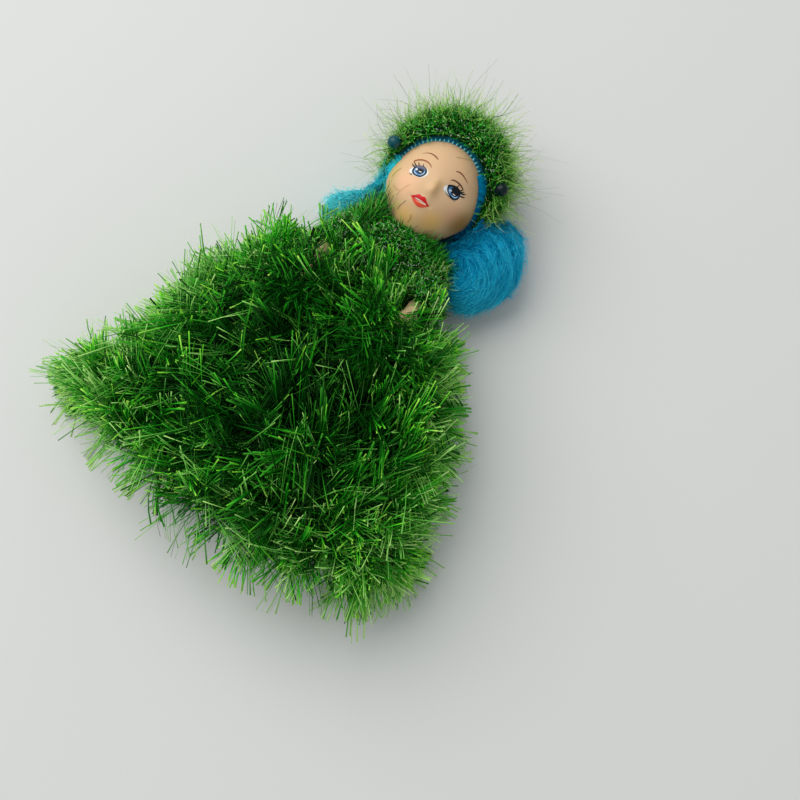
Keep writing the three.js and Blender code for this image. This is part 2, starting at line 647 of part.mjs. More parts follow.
function bellForm(grow, fromY, toY, steps = 7, sides = 32) {
  const rings = [];
  for (let i = 0; i <= steps; i++) {
    const y = fromY + (toY - fromY) * (i / steps) ** 1.4;
    rings.push(Array.from({ length: sides }, (_, side) => bellPoint(y, (side / sides) * FULL_TURN, grow)));
  }
  return solidOf(loft(rings));
}

function hemArc() {
  const disc = new THREE.CylinderGeometry(SKIRT_HEM_ARC_RADIUS, SKIRT_HEM_ARC_RADIUS, 2 * FAR, 90);
  disc.rotateX(Math.PI / 2);
  disc.translate(0, HEM_ARC_CENTRE_Y, 0);
  return solidOf(disc);
}

function skirtKnit() {
  const past = SKIRT_HEM_Y - 1;
  const hollow = bellForm(-SKIRT_WALL, WAIST_Y - 6, past - 2).add(torsoForm(GAP));
  return largestPiece(bellForm(0, WAIST_Y - GAP / 2, past)
    .intersect(hemArc())
    .subtract(hollow)
    .subtract(belowTable())
    .subtract(sleeveEnvelope(1, GAP))
    .subtract(sleeveEnvelope(-1, GAP)));
}

// The outward direction of the skirt's upper side at a point on it
function bellNormal(point, grow) {
  const { half, top } = bellSize(point.y, grow);
  const rise = (point.z - SKIRT_WIDEST_Z) / (top - SKIRT_WIDEST_Z) ** 2;
  return new THREE.Vector3(point.x / half ** 2, 0, rise).normalize();
}

// The shaggy pile: tapered three-sided blades standing on a thin slice that lies over the knit
function blade(root, normal, way, length, droop) {
  const tip = root.clone().addScaledVector(way, length);
  tip.z = Math.max(tip.z - droop, PILE_TABLE_CLEARANCE);
  const across = new THREE.Vector3(0.3, 1, 0).cross(normal).normalize();
  const other = new THREE.Vector3().crossVectors(normal, across);
  const foot = [0, 1, 2].map((corner) => {
    const angle = (corner / 3) * FULL_TURN;
    return root.clone()
      .addScaledVector(across, PILE_ROOT_RADIUS * Math.cos(angle))
      .addScaledVector(other, PILE_ROOT_RADIUS * Math.sin(angle));
  });
  const geometry = new THREE.BufferGeometry().setFromPoints([...foot, tip]);
  geometry.setIndex([0, 2, 1, 0, 1, 3, 1, 2, 3, 2, 0, 3]);
  return solidOf(geometry);
}

// The middle of the pile's backing slice, where the blades have their roots
const ROOT_GROW = GAP + PILE_BACKING / 2;

// Blades over the whole skirt, in staggered rows, leaning ever more towards the hem
function surfaceBlades() {
  const blades = [];
  const firstY = WAIST_Y - PILE_HEM_MARGIN * 2;
  const lastReach = SKIRT_HEM_ARC_RADIUS - 3 * PILE_HEM_MARGIN;
  const rows = Math.floor((firstY - SKIRT_HEM_Y) / PILE_SPACING);
  for (let row = 0; row < rows; row++) {
    const y = firstY - row * PILE_SPACING;
    const t = (WAIST_Y - y) / (WAIST_Y - SKIRT_HEM_Y);
    const arch = [];
    for (let step = -8; step <= 48; step++) {
      const point = bellPoint(y, (step / 40) * Math.PI, ROOT_GROW);
      if (point.z > PILE_LOWEST_ROOT_Z) arch.push(point);
    }
    const curve = new THREE.CatmullRomCurve3(arch);
    const count = Math.round(curve.getLength() / PILE_SPACING);
    const stagger = row % 2;
    for (let i = 0; i <= count - stagger; i++) {
      const root = curve.getPointAt((i + stagger / 2) / count);
      if (hemReach(root) > lastReach) continue;
      const normal = bellNormal(root, ROOT_GROW);
      const sway = PILE_SWAY * Math.sin(root.x * 0.31 + root.y * 0.17);
      const lean = new THREE.Vector3(
        root.x * PILE_FAN + sway, -PILE_LEAN_AT_WAIST - PILE_LEAN_TO_HEM * t * t, sway / 2);
      const way = normal.clone().add(lean).normalize();
      const length = PILE_LENGTH * (0.92 + 0.08 * Math.cos(root.x * 0.9 + root.y * 1.3));
      blades.push({ root, solid: blade(root, normal, way, length, t) });
    }
  }
  return blades;
}

// One row of blades that stands out past the hem all round
function hemBlades() {
  const blades = [];
  const reach = SKIRT_HEM_ARC_RADIUS - PILE_HEM_MARGIN;
  const widest = Math.asin((SKIRT_HEM_HALF - 5) / reach);
  const count = Math.round((2 * widest * reach) / (PILE_SPACING * 0.85));
  for (let i = 0; i <= count; i++) {
    const turn = -widest + (2 * widest * i) / count;
    const root = new THREE.Vector3(reach * Math.sin(turn), HEM_ARC_CENTRE_Y - reach * Math.cos(turn), 0);
    const { half, top } = bellSize(root.y, ROOT_GROW);
    root.z = SKIRT_WIDEST_Z + (top - SKIRT_WIDEST_Z) * Math.sqrt(Math.max(0, 1 - (root.x / half) ** 2));
    const rise = i % 2 ? 0.42 : 0.2;
    const way = new THREE.Vector3(Math.sin(turn) * 1.15, -Math.cos(turn), rise).normalize();
    blades.push({ root, solid: blade(root, bellNormal(root, ROOT_GROW), way, PILE_LENGTH, 2) });
  }
  return blades;
}

function hemReach(point) {
  return Math.hypot(point.x, point.y - HEM_ARC_CENTRE_Y);
}

// The arms lie on the pile, which is pressed flat under them
function pressedByArm(point) {
  const out = Math.abs(point.x) - HAND_X;
  const beside = out > -PRESSED_INSIDE_HAND && out < PRESSED_OUTSIDE_HAND;
  return beside && point.y > HAND_Y - PRESSED_BELOW_HAND && point.z > PILE_SPLIT_Z;
}

function pileSection(keep, blades) {
  const slice = bellForm(GAP + PILE_BACKING, WAIST_Y - 1, SKIRT_HEM_Y - 1)
    .subtract(bellForm(GAP, WAIST_Y - GAP / 2, SKIRT_HEM_Y - 2))
    .intersect(hemArc())
    .intersect(boxBetween(keep.min.toArray(), keep.max.toArray()))
    .subtract(sleeveEnvelope(1, 2 * GAP))
    .subtract(sleeveEnvelope(-1, 2 * GAP));
  const room = keep.clone().expandByScalar(-PILE_ROOT_RADIUS - GAP);
  const own = blades.filter(({ root }) => room.containsPoint(root)).map(({ solid }) => solid);
  return largestPiece(union([largestPiece(slice), ...own]));
}

function pileSections() {
  const half = GAP / 2;
  const blades = [...surfaceBlades(), ...hemBlades()].filter(({ root }) => !pressedByArm(root));
  const sections = {};
  for (const [name, side] of [['left', 1], ['right', -1]]) {
    const [nearX, farX] = side > 0 ? [half, FAR] : [-FAR, -half];
    const lowestZ = PILE_LOWEST_ROOT_Z - PILE_ROOT_RADIUS - 2 * GAP;
    const upper = new THREE.Box3(
      new THREE.Vector3(nearX, -FAR, PILE_SPLIT_Z + half), new THREE.Vector3(farX, FAR, FAR));
    const lower = new THREE.Box3(
      new THREE.Vector3(nearX, -FAR, lowestZ), new THREE.Vector3(farX, FAR, PILE_SPLIT_Z - half));
    sections['skirt_pile_top_' + name] = pileSection(upper, blades);
    sections['skirt_pile_side_' + name] = pileSection(lower, blades);
  }
  return sections;
}

// Every piece as a named mesh with the finish that the photograph shows

const FINISH = {
  torso_front: [0xe9b98f, 0.55],
  torso_back: [0xe9b98f, 0.55],
  head_shell: [0xf0c29c, 0.45],
  hair_roots: [0x1b93a8, 0.6],
  hair_bunch_left: [0x1e9cc8, 0.6],
  hair_bunch_right: [0x1e9cc8, 0.6],
  cap: [0x1c7a1e, 0.7],
  cap_pin_left: [0x0b5c5e, 0.2],
  cap_pin_right: [0x0b5c5e, 0.2],
  arm_left: [0xf0c29c, 0.45],
  arm_right: [0xf0c29c, 0.45],
  leg_left: [0xf0c29c, 0.45],
  leg_right: [0xf0c29c, 0.45],
  sleeve_left: [0x1c7a1e, 0.7],
  sleeve_right: [0x1c7a1e, 0.7],
  bodice: [0x1c7a1e, 0.7],
  skirt_knit: [0x0c4a12, 0.9],
  skirt_pile_top_left: [0x23832a, 0.6],
  skirt_pile_top_right: [0x23832a, 0.6],
  skirt_pile_side_left: [0x23832a, 0.6],
  skirt_pile_side_right: [0x23832a, 0.6],
};

function piece(name, solid) {
  const [color, roughness] = FINISH[name];
  const material = new THREE.MeshStandardMaterial({ color, roughness, metalness: 0 });
  const mesh = new THREE.Mesh(geometryOf(solid), material);
  mesh.name = name;
  return mesh;
}

const group = new THREE.Group();

const torso = hollowTorso();
const seam = BODY_Z + TORSO_SEAM_GAP / 2;
const frontHalf = boxBetween([-FAR, -FAR, seam], [FAR, FAR, FAR]);
const backHalf = boxBetween([-FAR, -FAR, -FAR], [FAR, FAR, seam - TORSO_SEAM_GAP]);
group.add(piece('torso_front', torso.intersect(frontHalf)));
group.add(piece('torso_back', torso.intersect(backHalf)));
group.add(piece('bodice', bodice()));
group.add(piece('skirt_knit', skirtKnit()));
for (const [name, solid] of Object.entries(pileSections())) {
  group.add(piece(name, solid));
}

const headGroup = new THREE.Group();
headGroup.position.set(0, HEAD_PIVOT_Y, BODY_Z);
headGroup.rotation.set(0, HEAD_TURN_DEG * RADIANS, HEAD_TILT_DEG * RADIANS, 'ZYX');
const headPieces = [
  piece('head_shell', headShell()),
  piece('hair_roots', hairRoots()),
  piece('cap', cap()),
  piece('cap_pin_left', pinForm(PIN_LEFT, 0)),
  piece('cap_pin_right', pinForm(PIN_RIGHT, 0)),
];
for (const mesh of headPieces) {
  mesh.position.set(0, -HEAD_PIVOT_Y, -BODY_Z);
  headGroup.add(mesh);
}
group.add(headGroup);
group.add(piece('hair_bunch_left', hairBunch(HAIR_BUNCH_LEFT)));
group.add(piece('hair_bunch_right', hairBunch(HAIR_BUNCH_RIGHT)));

for (const [name, side] of [['left', 1], ['right', -1]]) {
  const armGroup = new THREE.Group();
  armGroup.position.set(0, SHOULDER_Y, BODY_Z);
  armGroup.rotation.x = -ARM_REST_DEG * RADIANS;
  armGroup.add(piece('arm_' + name, arm(side)), piece('sleeve_' + name, sleeve(side)));
  const legGroup = new THREE.Group();
  legGroup.position.set(0, 0, BODY_Z);
  legGroup.rotation.x = -LEG_REST_DEG * RADIANS;
  legGroup.add(piece('leg_' + name, leg(side)));
  group.add(armGroup, legGroup);
}

export default group;
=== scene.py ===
"""Looks for a small jointed vinyl doll in a shaggy knitted gown, lying on its back.

Lengths are in millimetres in the part's frame until a mesh is made.
"""

import math

import bpy
import numpy as np
from mathutils import Matrix, Vector
from mathutils.bvhtree import BVHTree
from mathutils.geometry import delaunay_2d_cdt


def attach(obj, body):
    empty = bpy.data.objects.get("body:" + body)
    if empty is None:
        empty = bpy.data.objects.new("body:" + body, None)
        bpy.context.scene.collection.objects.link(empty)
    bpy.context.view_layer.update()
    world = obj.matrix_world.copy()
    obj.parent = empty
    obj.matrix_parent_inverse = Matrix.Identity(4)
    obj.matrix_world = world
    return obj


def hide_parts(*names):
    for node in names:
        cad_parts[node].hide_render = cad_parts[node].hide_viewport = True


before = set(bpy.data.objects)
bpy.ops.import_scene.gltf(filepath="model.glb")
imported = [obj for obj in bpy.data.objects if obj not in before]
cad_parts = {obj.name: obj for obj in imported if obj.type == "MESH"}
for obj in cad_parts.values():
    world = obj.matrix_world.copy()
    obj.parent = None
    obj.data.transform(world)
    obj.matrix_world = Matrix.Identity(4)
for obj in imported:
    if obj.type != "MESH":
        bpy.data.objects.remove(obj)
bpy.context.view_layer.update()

MM = 0.001
rng = np.random.default_rng(4813)
scene = bpy.context.scene
TAU = 2 * math.pi

# Camera and light

IMAGE_FOCUS = 1100 / 800
SENSOR_WIDTH = 36
CAMERA_AT = (42.457, -63.652, 308.302)
CAMERA_RIGHT = (0.8264, 0.5592, 0.0662)
CAMERA_DOWN = (0.5601, -0.8045, -0.1975)
CAMERA_AHEAD = (-0.0572, 0.2003, -0.9781)

LIGHT_AT = Vector((-0.85, 0.12, 1.0))
LIGHT_AIM = Vector((0, 0, 0.02))
LIGHT_SIZE = 1.6
LIGHT_POWER = 16.3
SKY_COLOR = (0.95, 0.98, 1.0, 1)
SKY_STRENGTH = 0.46


def add_object(name, data):
    obj = bpy.data.objects.new(name, data)
    scene.collection.objects.link(obj)
    return obj


camera = add_object("camera", bpy.data.cameras.new("camera"))
camera.data.sensor_width = SENSOR_WIDTH
camera.data.lens = SENSOR_WIDTH * IMAGE_FOCUS
camera.data.clip_start = 0.01
camera.data.clip_end = 10
axes = Matrix((CAMERA_RIGHT, [-v for v in CAMERA_DOWN], [-v for v in CAMERA_AHEAD])).transposed()
camera.matrix_world = Matrix.Translation(Vector(CAMERA_AT) * MM) @ axes.to_4x4()
scene.camera = camera
scene.view_settings.view_transform = "Standard"

lamp = add_object("key", bpy.data.lights.new("key", "AREA"))
lamp.data.shape = "DISK"
lamp.data.size = LIGHT_SIZE
lamp.data.energy = LIGHT_POWER
lamp.data.color = (1.0, 0.985, 0.95)
lamp.location = LIGHT_AT
lamp.rotation_euler = (LIGHT_AIM - LIGHT_AT).to_track_quat("-Z", "Y").to_euler()

world = bpy.data.worlds.new("world")
scene.world = world
world.use_nodes = True
sky = world.node_tree.nodes["Background"]
sky.inputs["Color"].default_value = SKY_COLOR
sky.inputs["Strength"].default_value = SKY_STRENGTH


# Meshes from arrays

def make_mesh(name, points, quads=None, tris=None, uv=None):
    """A mesh object from points in millimetres; uv holds one pair for each face corner."""
    quads = np.zeros((0, 4), int) if quads is None else np.asarray(quads, int)
    tris = np.zeros((0, 3), int) if tris is None else np.asarray(tris, int)
    mesh = bpy.data.meshes.new(name)
    mesh.vertices.add(len(points))
    mesh.vertices.foreach_set("co", (np.asarray(points, float) * MM).astype(np.float32).ravel())
    corners = np.concatenate([quads.ravel(), tris.ravel()]).astype(np.int32)
    mesh.loops.add(len(corners))
    mesh.loops.foreach_set("vertex_index", corners)
    starts = np.concatenate([np.arange(len(quads)) * 4, 4 * len(quads) + np.arange(len(tris)) * 3])
    mesh.polygons.add(len(starts))
    mesh.polygons.foreach_set("loop_start", starts.astype(np.int32))
    mesh.update(calc_edges=True)
    mesh.validate()
    if uv is not None:
        layer = mesh.uv_layers.new(name="OFBake")
        layer.data.foreach_set("uv", np.asarray(uv, np.float32).ravel())
    mesh.shade_smooth()
    return add_object(name, mesh)


def dress(obj, material, body, slot_name, *replaced):
    """Gives a piece its material and its body, and hides the CAD nodes that it stands for; slot_name is not
    used.
    """
    obj.data.materials.clear()
    obj.data.materials.append(material)
    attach(obj, body)
    if replaced:
        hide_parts(*replaced)
    return obj


def grid_quads(rows, columns):
    """Quads of a grid of points, closed round its columns."""
    r = np.arange(rows - 1)[:, None] * columns
    c = np.arange(columns)[None, :]
    n = (c + 1) % columns
    return np.stack([r + c, r + n, r + columns + n, r + columns + c], -1).reshape(-1, 4)


def around(count):
    """The angles of that many places round a circle."""
    return np.arange(count) / count * TAU


def turn_about_x(points, angle):
    c, s = math.cos(angle), math.sin(angle)
    x, y, z = points[:, 0], points[:, 1], points[:, 2]
    return np.stack([x, y * c - z * s, y * s + z * c], -1)


def unit(vectors):
    return vectors / np.maximum(np.linalg.norm(vectors, axis=-1, keepdims=True), 1e-9)


# Shades that a fibre's material can choose from, laid side by side in the UV map
VARIANTS = 64


def strands(name, paths, width, material, body, slot_name, flat, variant=None, side=None):
    """Tapered three-sided fibres along paths of shape (count, steps, 3).

    The width is the half width at each step, and the variant is each fibre's shade.
    """
    count, steps, _ = paths.shape
    tangent = unit(np.gradient(paths, axis=1))
    if side is None:
        side = rng.normal(size=(count, 1, 3))
    side = unit(side - (side * tangent).sum(-1, keepdims=True) * tangent)
    normal = np.cross(tangent, side)
    half = np.broadcast_to(width, (count, steps))[..., None]
    rings = np.stack([paths + side * half, paths - side * half, paths + normal * half * flat * 2], 2)
    base = (np.arange(count) * steps * 3)[:, None, None]
    ring = (np.arange(steps - 1) * 3)[None, :, None]
    k = np.arange(3)[None, None, :]
    a = base + ring + k
    b = base + ring + (k + 1) % 3
    quads = np.stack([a, b, b + 3, a + 3], -1).reshape(-1, 4)
    first = np.arange(count)[:, None] * steps * 3
    tris = np.concatenate([first + [0, 2, 1], first + (steps - 1) * 3 + [0, 1, 2]])
    if variant is None:
        variant = rng.integers(0, VARIANTS, count)
    variant = np.clip(variant, 0, VARIANTS - 1).astype(int)
    column = np.broadcast_to(variant[:, None, None], a.shape)
    left = (column + 0.1 + 0.8 * k / 3) / VARIANTS
    right = (column + 0.1 + 0.8 * (k + 1) / 3) / VARIANTS
    low = np.broadcast_to(np.arange(steps - 1)[None, :, None] / (steps - 1), a.shape)
    high = low + 1 / (steps - 1)
    quad_uv = np.stack([left, low, right, low, right, high, left, high], -1).reshape(-1, 2)
    middle = (variant + 0.5) / VARIANTS
    ends = np.concatenate([np.stack([middle, np.full(count, v)], -1) for v in (0.01, 0.99)])
    end_uv = np.repeat(ends, 3, axis=0) + np.tile([[0, 0], [0.002, 0], [0, 0.002]], (2 * count, 1))
    obj = make_mesh(name, rings.reshape(-1, 3), quads, tris, np.concatenate([quad_uv, end_uv]))
    return dress(obj, material, body, slot_name)


def node_points(node):
    """Vertices in millimetres and faces of a CAD node."""
    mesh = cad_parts[node].data
    points = np.array([v.co[:] for v in mesh.vertices]) / MM
    return points, [tuple(p.vertices) for p in mesh.polygons]


def remeshed(name, parts, voxel, smooth_steps):
    """One smooth closed mesh over a list of (points, faces) solids in millimetres."""
    mesh = bpy.data.meshes.new(name)
    points, faces = [], []
    for part_points, part_faces in parts:
        faces += [tuple(int(i) + len(points) for i in face) for face in part_faces]
        points += [tuple(p) for p in np.asarray(part_points) * MM]
    mesh.from_pydata(points, [], faces)
    obj = add_object(name, mesh)
    weld = obj.modifiers.new("weld", "WELD")
    weld.merge_threshold = 1e-6
    remesh = obj.modifiers.new("remesh", "REMESH")
    remesh.mode = "VOXEL"
    remesh.voxel_size = voxel * MM
    even = obj.modifiers.new("smooth", "SMOOTH")
    even.factor = 0.5
    even.iterations = smooth_steps
    result = bpy.data.meshes.new_from_object(obj.evaluated_get(bpy.context.evaluated_depsgraph_get()))
    obj.modifiers.clear()
    obj.data = result
    result.name = name
    result.shade_smooth()
    return obj


def read_triples(items, key):
    flat = np.zeros(len(items) * 3, np.float32)
    items.foreach_get(key, flat)
    return flat.reshape(-1, 3).astype(float)


def points_of(obj):
    return read_triples(obj.data.vertices, "co") / MM


def normals_of(obj):
    return read_triples(obj.data.vertex_normals, "vector")


def set_points(obj, points):
    obj.data.vertices.foreach_set("co", (points * MM).astype(np.float32).ravel())
    obj.data.update()


def scatter(obj, count, keep=None):
    """Random points on a mesh with their normals, by area, where keep(points, normals) holds."""
    mesh = obj.data
    mesh.calc_loop_triangles()
    corners = np.zeros(len(mesh.loop_triangles) * 3, np.int32)
    mesh.loop_triangles.foreach_get("vertices", corners)
    tri = points_of(obj)[corners.reshape(-1, 3)]
    cross = np.cross(tri[:, 1] - tri[:, 0], tri[:, 2] - tri[:, 0])
    area = np.linalg.norm(cross, axis=1)
    normal = cross / np.maximum(area[:, None], 1e-12)
    weight = area.copy()
    if keep is not None:
        weight *= keep(tri.mean(1), normal)
    chosen = rng.choice(len(tri), count, p=weight / weight.sum())
    a, b = rng.random((2, count, 1))
    over = a + b > 1
    a, b = np.where(over, 1 - a, a), np.where(over, 1 - b, b)
    t = tri[chosen]
    return t[:, 0] + a * (t[:, 1] - t[:, 0]) + b * (t[:, 2] - t[:, 0]), normal[chosen]


def catmull(points, count, closed=False):
    """A smooth curve of count points through the given ones."""
    p = np.asarray(points, float)
    n = len(p)
    s = np.linspace(0, n if closed else n - 1, count, endpoint=not closed)
    i = np.minimum(s.astype(int), n - 1 if closed else n - 2)
    f = (s - i)[:, None]
    a, b, c, d = (p[(i + k) % n if closed else np.clip(i + k, 0, n - 1)] for k in (-1, 0, 1, 2))
    return 0.5 * (2 * b + (c - a) * f + (2 * a - 5 * b + 4 * c - d) * f ** 2
                  + (3 * b - a - 3 * c + d) * f ** 3)


# Materials

def material(name, color=(0.5, 0.5, 0.5), roughness=0.5, metallic=0.0, **sockets):
    made = bpy.data.materials.new(name)
    made.use_nodes = True
    shader = made.node_tree.nodes["Principled BSDF"]
    shader.inputs["Base Color"].default_value = (*color, 1)
    shader.inputs["Roughness"].default_value = roughness
    shader.inputs["Metallic"].default_value = metallic
    for socket, value in sockets.items():
        shader.inputs[socket.replace("_", " ")].default_value = value
    return made


class Nodes:
    """Short ways to add and join shader nodes."""

    def __init__(self, made):
        self.tree = made.node_tree
        self.shader = made.node_tree.nodes["Principled BSDF"]

    def add(self, kind, inputs=None, **settings):
        node = self.tree.nodes.new(kind)
        for key, value in settings.items():
            setattr(node, key, value)
        for key, value in (inputs or {}).items():
            self.put(value, node.inputs[key])
        return node

    def put(self, value, socket):
        if isinstance(value, bpy.types.NodeSocket):
            self.tree.links.new(value, socket)
        else:
            socket.default_value = value

    def math(self, operation, a, b=0.0):
        return self.add("ShaderNodeMath", {0: a, 1: b}, operation=operation).outputs[0]

    def noise(self, vector, scale, detail=2.0):
        node = self.add("ShaderNodeTexNoise", {"Vector": vector, "Scale": scale, "Detail": detail})
        return node.outputs["Fac"]

    def ramp(self, factor, stops):
        node = self.add("ShaderNodeValToRGB", {"Fac": factor})
        elements = node.color_ramp.elements
        while len(elements) < len(stops):
            elements.new(0.5)
        for element, (place, color) in zip(elements, stops):
            element.position = place
            element.color = (*color, 1)
        return node.outputs["Color"]

    def mix(self, factor, a, b, blend="MIX"):
        node = self.add("ShaderNodeMix", data_type="RGBA", blend_type=blend)
        self.put(factor, node.inputs["Factor"])
        for socket, value in ((node.inputs[6], a), (node.inputs[7], b)):
            self.put(value if isinstance(value, bpy.types.NodeSocket) else (*value, 1), socket)
        return node.outputs[2]

    def object_point(self):
        return self.add("ShaderNodeTexCoord").outputs["Object"]

    def color(self, value):
        self.put(value, self.shader.inputs["Base Color"])

    def bump(self, height, strength, distance):
        node = self.add("ShaderNodeBump", {"Height": height, "Strength": strength, "Distance": distance})
        self.put(node.outputs["Normal"], self.shader.inputs["Normal"])


def fibre_material(name, along, shades, roughness, specular):
    """Colour runs along each fibre, and each fibre has its own shade."""
    made = material(name, roughness=roughness, Specular_IOR_Level=specular)
    nodes = Nodes(made)
    uv = nodes.add("ShaderNodeUVMap", uv_map="OFBake").outputs["UV"]
    split = nodes.add("ShaderNodeSeparateXYZ", {0: uv})
    shade = nodes.ramp(split.outputs[0], shades)
    nodes.color(nodes.mix(1.0, nodes.ramp(split.outputs[1], along), shade, "MULTIPLY"))
    return made


def skin_material(name, tones, tints=()):
    """Vinyl between two tones, with tints that fade out round their centres."""
    made = material(name, roughness=0.5, Specular_IOR_Level=0.25, Subsurface_Weight=0.12,
                    Subsurface_Scale=0.002)
    made.node_tree.nodes["Principled BSDF"].inputs["Subsurface Radius"].default_value = (1.0, 0.45, 0.25)
    nodes = Nodes(made)
    point = nodes.object_point()
    patchy = nodes.noise(point, 90.0, 3.0)
    color = nodes.mix(patchy, *tones)
    for centre, radius, tint, strength in tints:
        away = nodes.add("ShaderNodeVectorMath", {0: point, 1: [c * MM for c in centre]},
                         operation="DISTANCE")
        near = nodes.add("ShaderNodeMapRange", {
            "Value": away.outputs["Value"], "From Min": radius * MM, "From Max": 0.0,
            "To Min": 0.0, "To Max": strength}, interpolation_type="SMOOTHERSTEP")
        color = nodes.mix(near.outputs["Result"], color, tint)
    nodes.color(color)
    nodes.bump(nodes.noise(point, 900.0, 2.0), 0.06, 0.0002)
    return made


def knit_material(name, dark, light, scale):
    made = material(name, roughness=0.8, Specular_IOR_Level=0.15)
    nodes = Nodes(made)
    point = nodes.object_point()
    fuzz = nodes.noise(point, scale, 4.0)
    nodes.color(nodes.ramp(fuzz, [(0.3, dark), (0.72, light)]))
    wave = nodes.add("ShaderNodeTexWave", {
        "Vector": point, "Scale": scale * 0.7, "Distortion": 5.0, "Detail": 2.0})
    nodes.bump(nodes.math("ADD", wave.outputs["Fac"], fuzz), 0.5, 0.0004)
    return made


# In the blades, the near-black roots are painted shade between the fibres, the bright tips are partly the
# yarn's lime and partly painted light shining through them, and the whitish top shades are painted highlights
GRASS = fibre_material(
    "skirt_blades",
    [(0.0, (0.0003, 0.004, 0.001)), (0.3, (0.0008, 0.03, 0.002)), (0.6, (0.003, 0.18, 0.004)),
     (0.85, (0.014, 0.44, 0.01)), (1.0, (0.09, 0.62, 0.03))],
    [(0.0, (0.03, 0.04, 0.06)), (0.35, (0.2, 0.23, 0.33)), (0.62, (0.85, 0.85, 0.8)),
     (0.8, (3.4, 1.4, 1.6)), (1.0, (7.0, 1.7, 5.0))],
    0.4, 0.1)
# Pale ribbons whose pale colour stands for bright lines of light along the blades: painted highlights
GLINT = fibre_material(
    "skirt_glints",
    [(0.0, (0.005, 0.05, 0.005)), (0.35, (0.06, 0.3, 0.05)), (0.7, (0.16, 0.66, 0.07)),
     (1.0, (0.42, 0.9, 0.2))],
    [(0.0, (0.1, 0.3, 0.12)), (0.5, (0.55, 0.75, 0.5)), (1.0, (1.5, 1.1, 1.5))],
    0.4, 0.3)
# The whitish top shades are painted highlights on the tinsel
TINSEL = fibre_material(
    "green_tinsel",
    [(0.0, (0.002, 0.17, 0.002)), (1.0, (0.02, 0.52, 0.008))],
    [(0.0, (0.01, 0.015, 0.02)), (0.45, (0.05, 0.09, 0.08)), (0.65, (0.9, 0.85, 0.9)),
     (0.82, (3.0, 1.9, 2.5)), (1.0, (14.0, 2.0, 30.0))],
    0.3, 0.2)
# White flakes that stand for sparkles of light on the tinsel: painted highlights
PAINTED_SPARKLE = fibre_material(
    "painted_sparkle",
    [(0.0, (0.93, 1.0, 0.9)), (1.0, (0.97, 1.0, 0.95))],
    [(0.0, (0.3, 0.95, 0.25)), (0.35, (0.75, 1.0, 0.7)), (0.6, (1.0, 1.0, 1.0)),
     (1.0, (1.0, 1.0, 1.0))],
    0.2, 1.0)
LIME = fibre_material(
    "lime_fringe",
    [(0.0, (0.02, 0.4, 0.006)), (0.3, (0.2, 0.7, 0.05)), (1.0, (0.66, 0.93, 0.24))],
    [(0.0, (0.15, 0.4, 0.15)), (0.5, (0.8, 0.9, 0.7)), (1.0, (1.4, 1.1, 1.6))],
    0.4, 0.2)
FLYAWAY = fibre_material(
    "olive_flyaway",
    [(0.0, (0.14, 0.38, 0.06)), (1.0, (0.42, 0.46, 0.27))],
    [(0.0, (0.3, 0.35, 0.3)), (1.0, (1.2, 1.2, 1.2))],
    0.4, 0.2)
HAIR = fibre_material(
    "blue_hair",
    [(0.0, (0.0005, 0.27, 0.52)), (0.5, (0.0005, 0.36, 0.64)), (1.0, (0.001, 0.44, 0.72))],
    [(0.0, (0.3, 0.22, 0.4)), (0.25, (0.6, 0.5, 0.68)), (0.5, (1.0, 1.0, 1.0)),
     (0.75, (8.0, 1.4, 1.25)), (1.0, (80.0, 1.9, 1.45))],
    0.5, 0.05)
PALE_HAIR = fibre_material(
    "pale_hair",
    [(0.0, (0.02, 0.62, 0.76)), (0.5, (0.05, 0.8, 0.92)), (1.0, (0.12, 0.9, 0.97))],
    [(0.0, (0.1, 0.4, 0.6)), (0.5, (0.8, 0.95, 0.95)), (1.0, (2.5, 1.15, 1.1))],
    0.5, 0.15)
# Pale at the root where light catches each plug's bump: a painted highlight
TUFT_PAINTED_HIGHLIGHT = fibre_material(
    "hair_plugs",
    [(0.0, (0.3, 0.8, 0.85)), (1.0, (0.12, 0.6, 0.7))],
    [(0.0, (0.15, 0.35, 0.5)), (0.5, (0.6, 0.8, 0.9)), (1.0, (1.2, 1.1, 1.05))],
    0.4, 0.3)
KNIT = knit_material("tinsel_knit_ground", (0.0003, 0.006, 0.001), (0.002, 0.06, 0.003), 420.0)
SKIRT_KNIT = knit_material("skirt_knit_ground", (0.001, 0.012, 0.003), (0.006, 0.06, 0.010), 300.0)
HAIR_BASE = knit_material("hair_mass", (0.0005, 0.12, 0.22), (0.001, 0.24, 0.38), 500.0)
ROOT_BASE = knit_material("hair_band", (0.001, 0.07, 0.11), (0.002, 0.16, 0.22), 700.0)
STEEL = material("pin_steel", (0.6, 0.6, 0.6), 0.25, 1.0)


def gloss_paint(name, color, roughness=0.45):
    made = material(name, color, roughness, Specular_IOR_Level=0.2)
    nodes = Nodes(made)
    speckle = nodes.math("MULTIPLY", nodes.noise(nodes.object_point(), 1500.0, 2.0), 0.25)
    nodes.color(nodes.mix(speckle, color, tuple(0.7 * c for c in color)))
    return made


# Head, in its own frame and then turned

SHOULDER_Y = 28.0
SHOULDER_SEAT_X = 10.0
HIP_SEAT_X = 4.6
BODY_Z = 14.5
HEAD_CENTRE = np.array([0, 52, 16.9])
HEAD_HALF = np.array([13, 16.3, 14])
HEAD_PIVOT = np.array([0, 39.5, BODY_Z])
HEAD_TILT = math.radians(2.8)
HEAD_TURN = math.radians(5)
HAIRLINE_SLOPE = math.radians(39.9)
HAIRLINE_FORWARD = 3.3
HAIRLINE_NORMAL = np.array([0, -math.sin(HAIRLINE_SLOPE), math.cos(HAIRLINE_SLOPE)])
HEAD_ROTATION = np.array(Matrix.Rotation(HEAD_TILT, 3, "Z") @ Matrix.Rotation(HEAD_TURN, 3, "Y"))

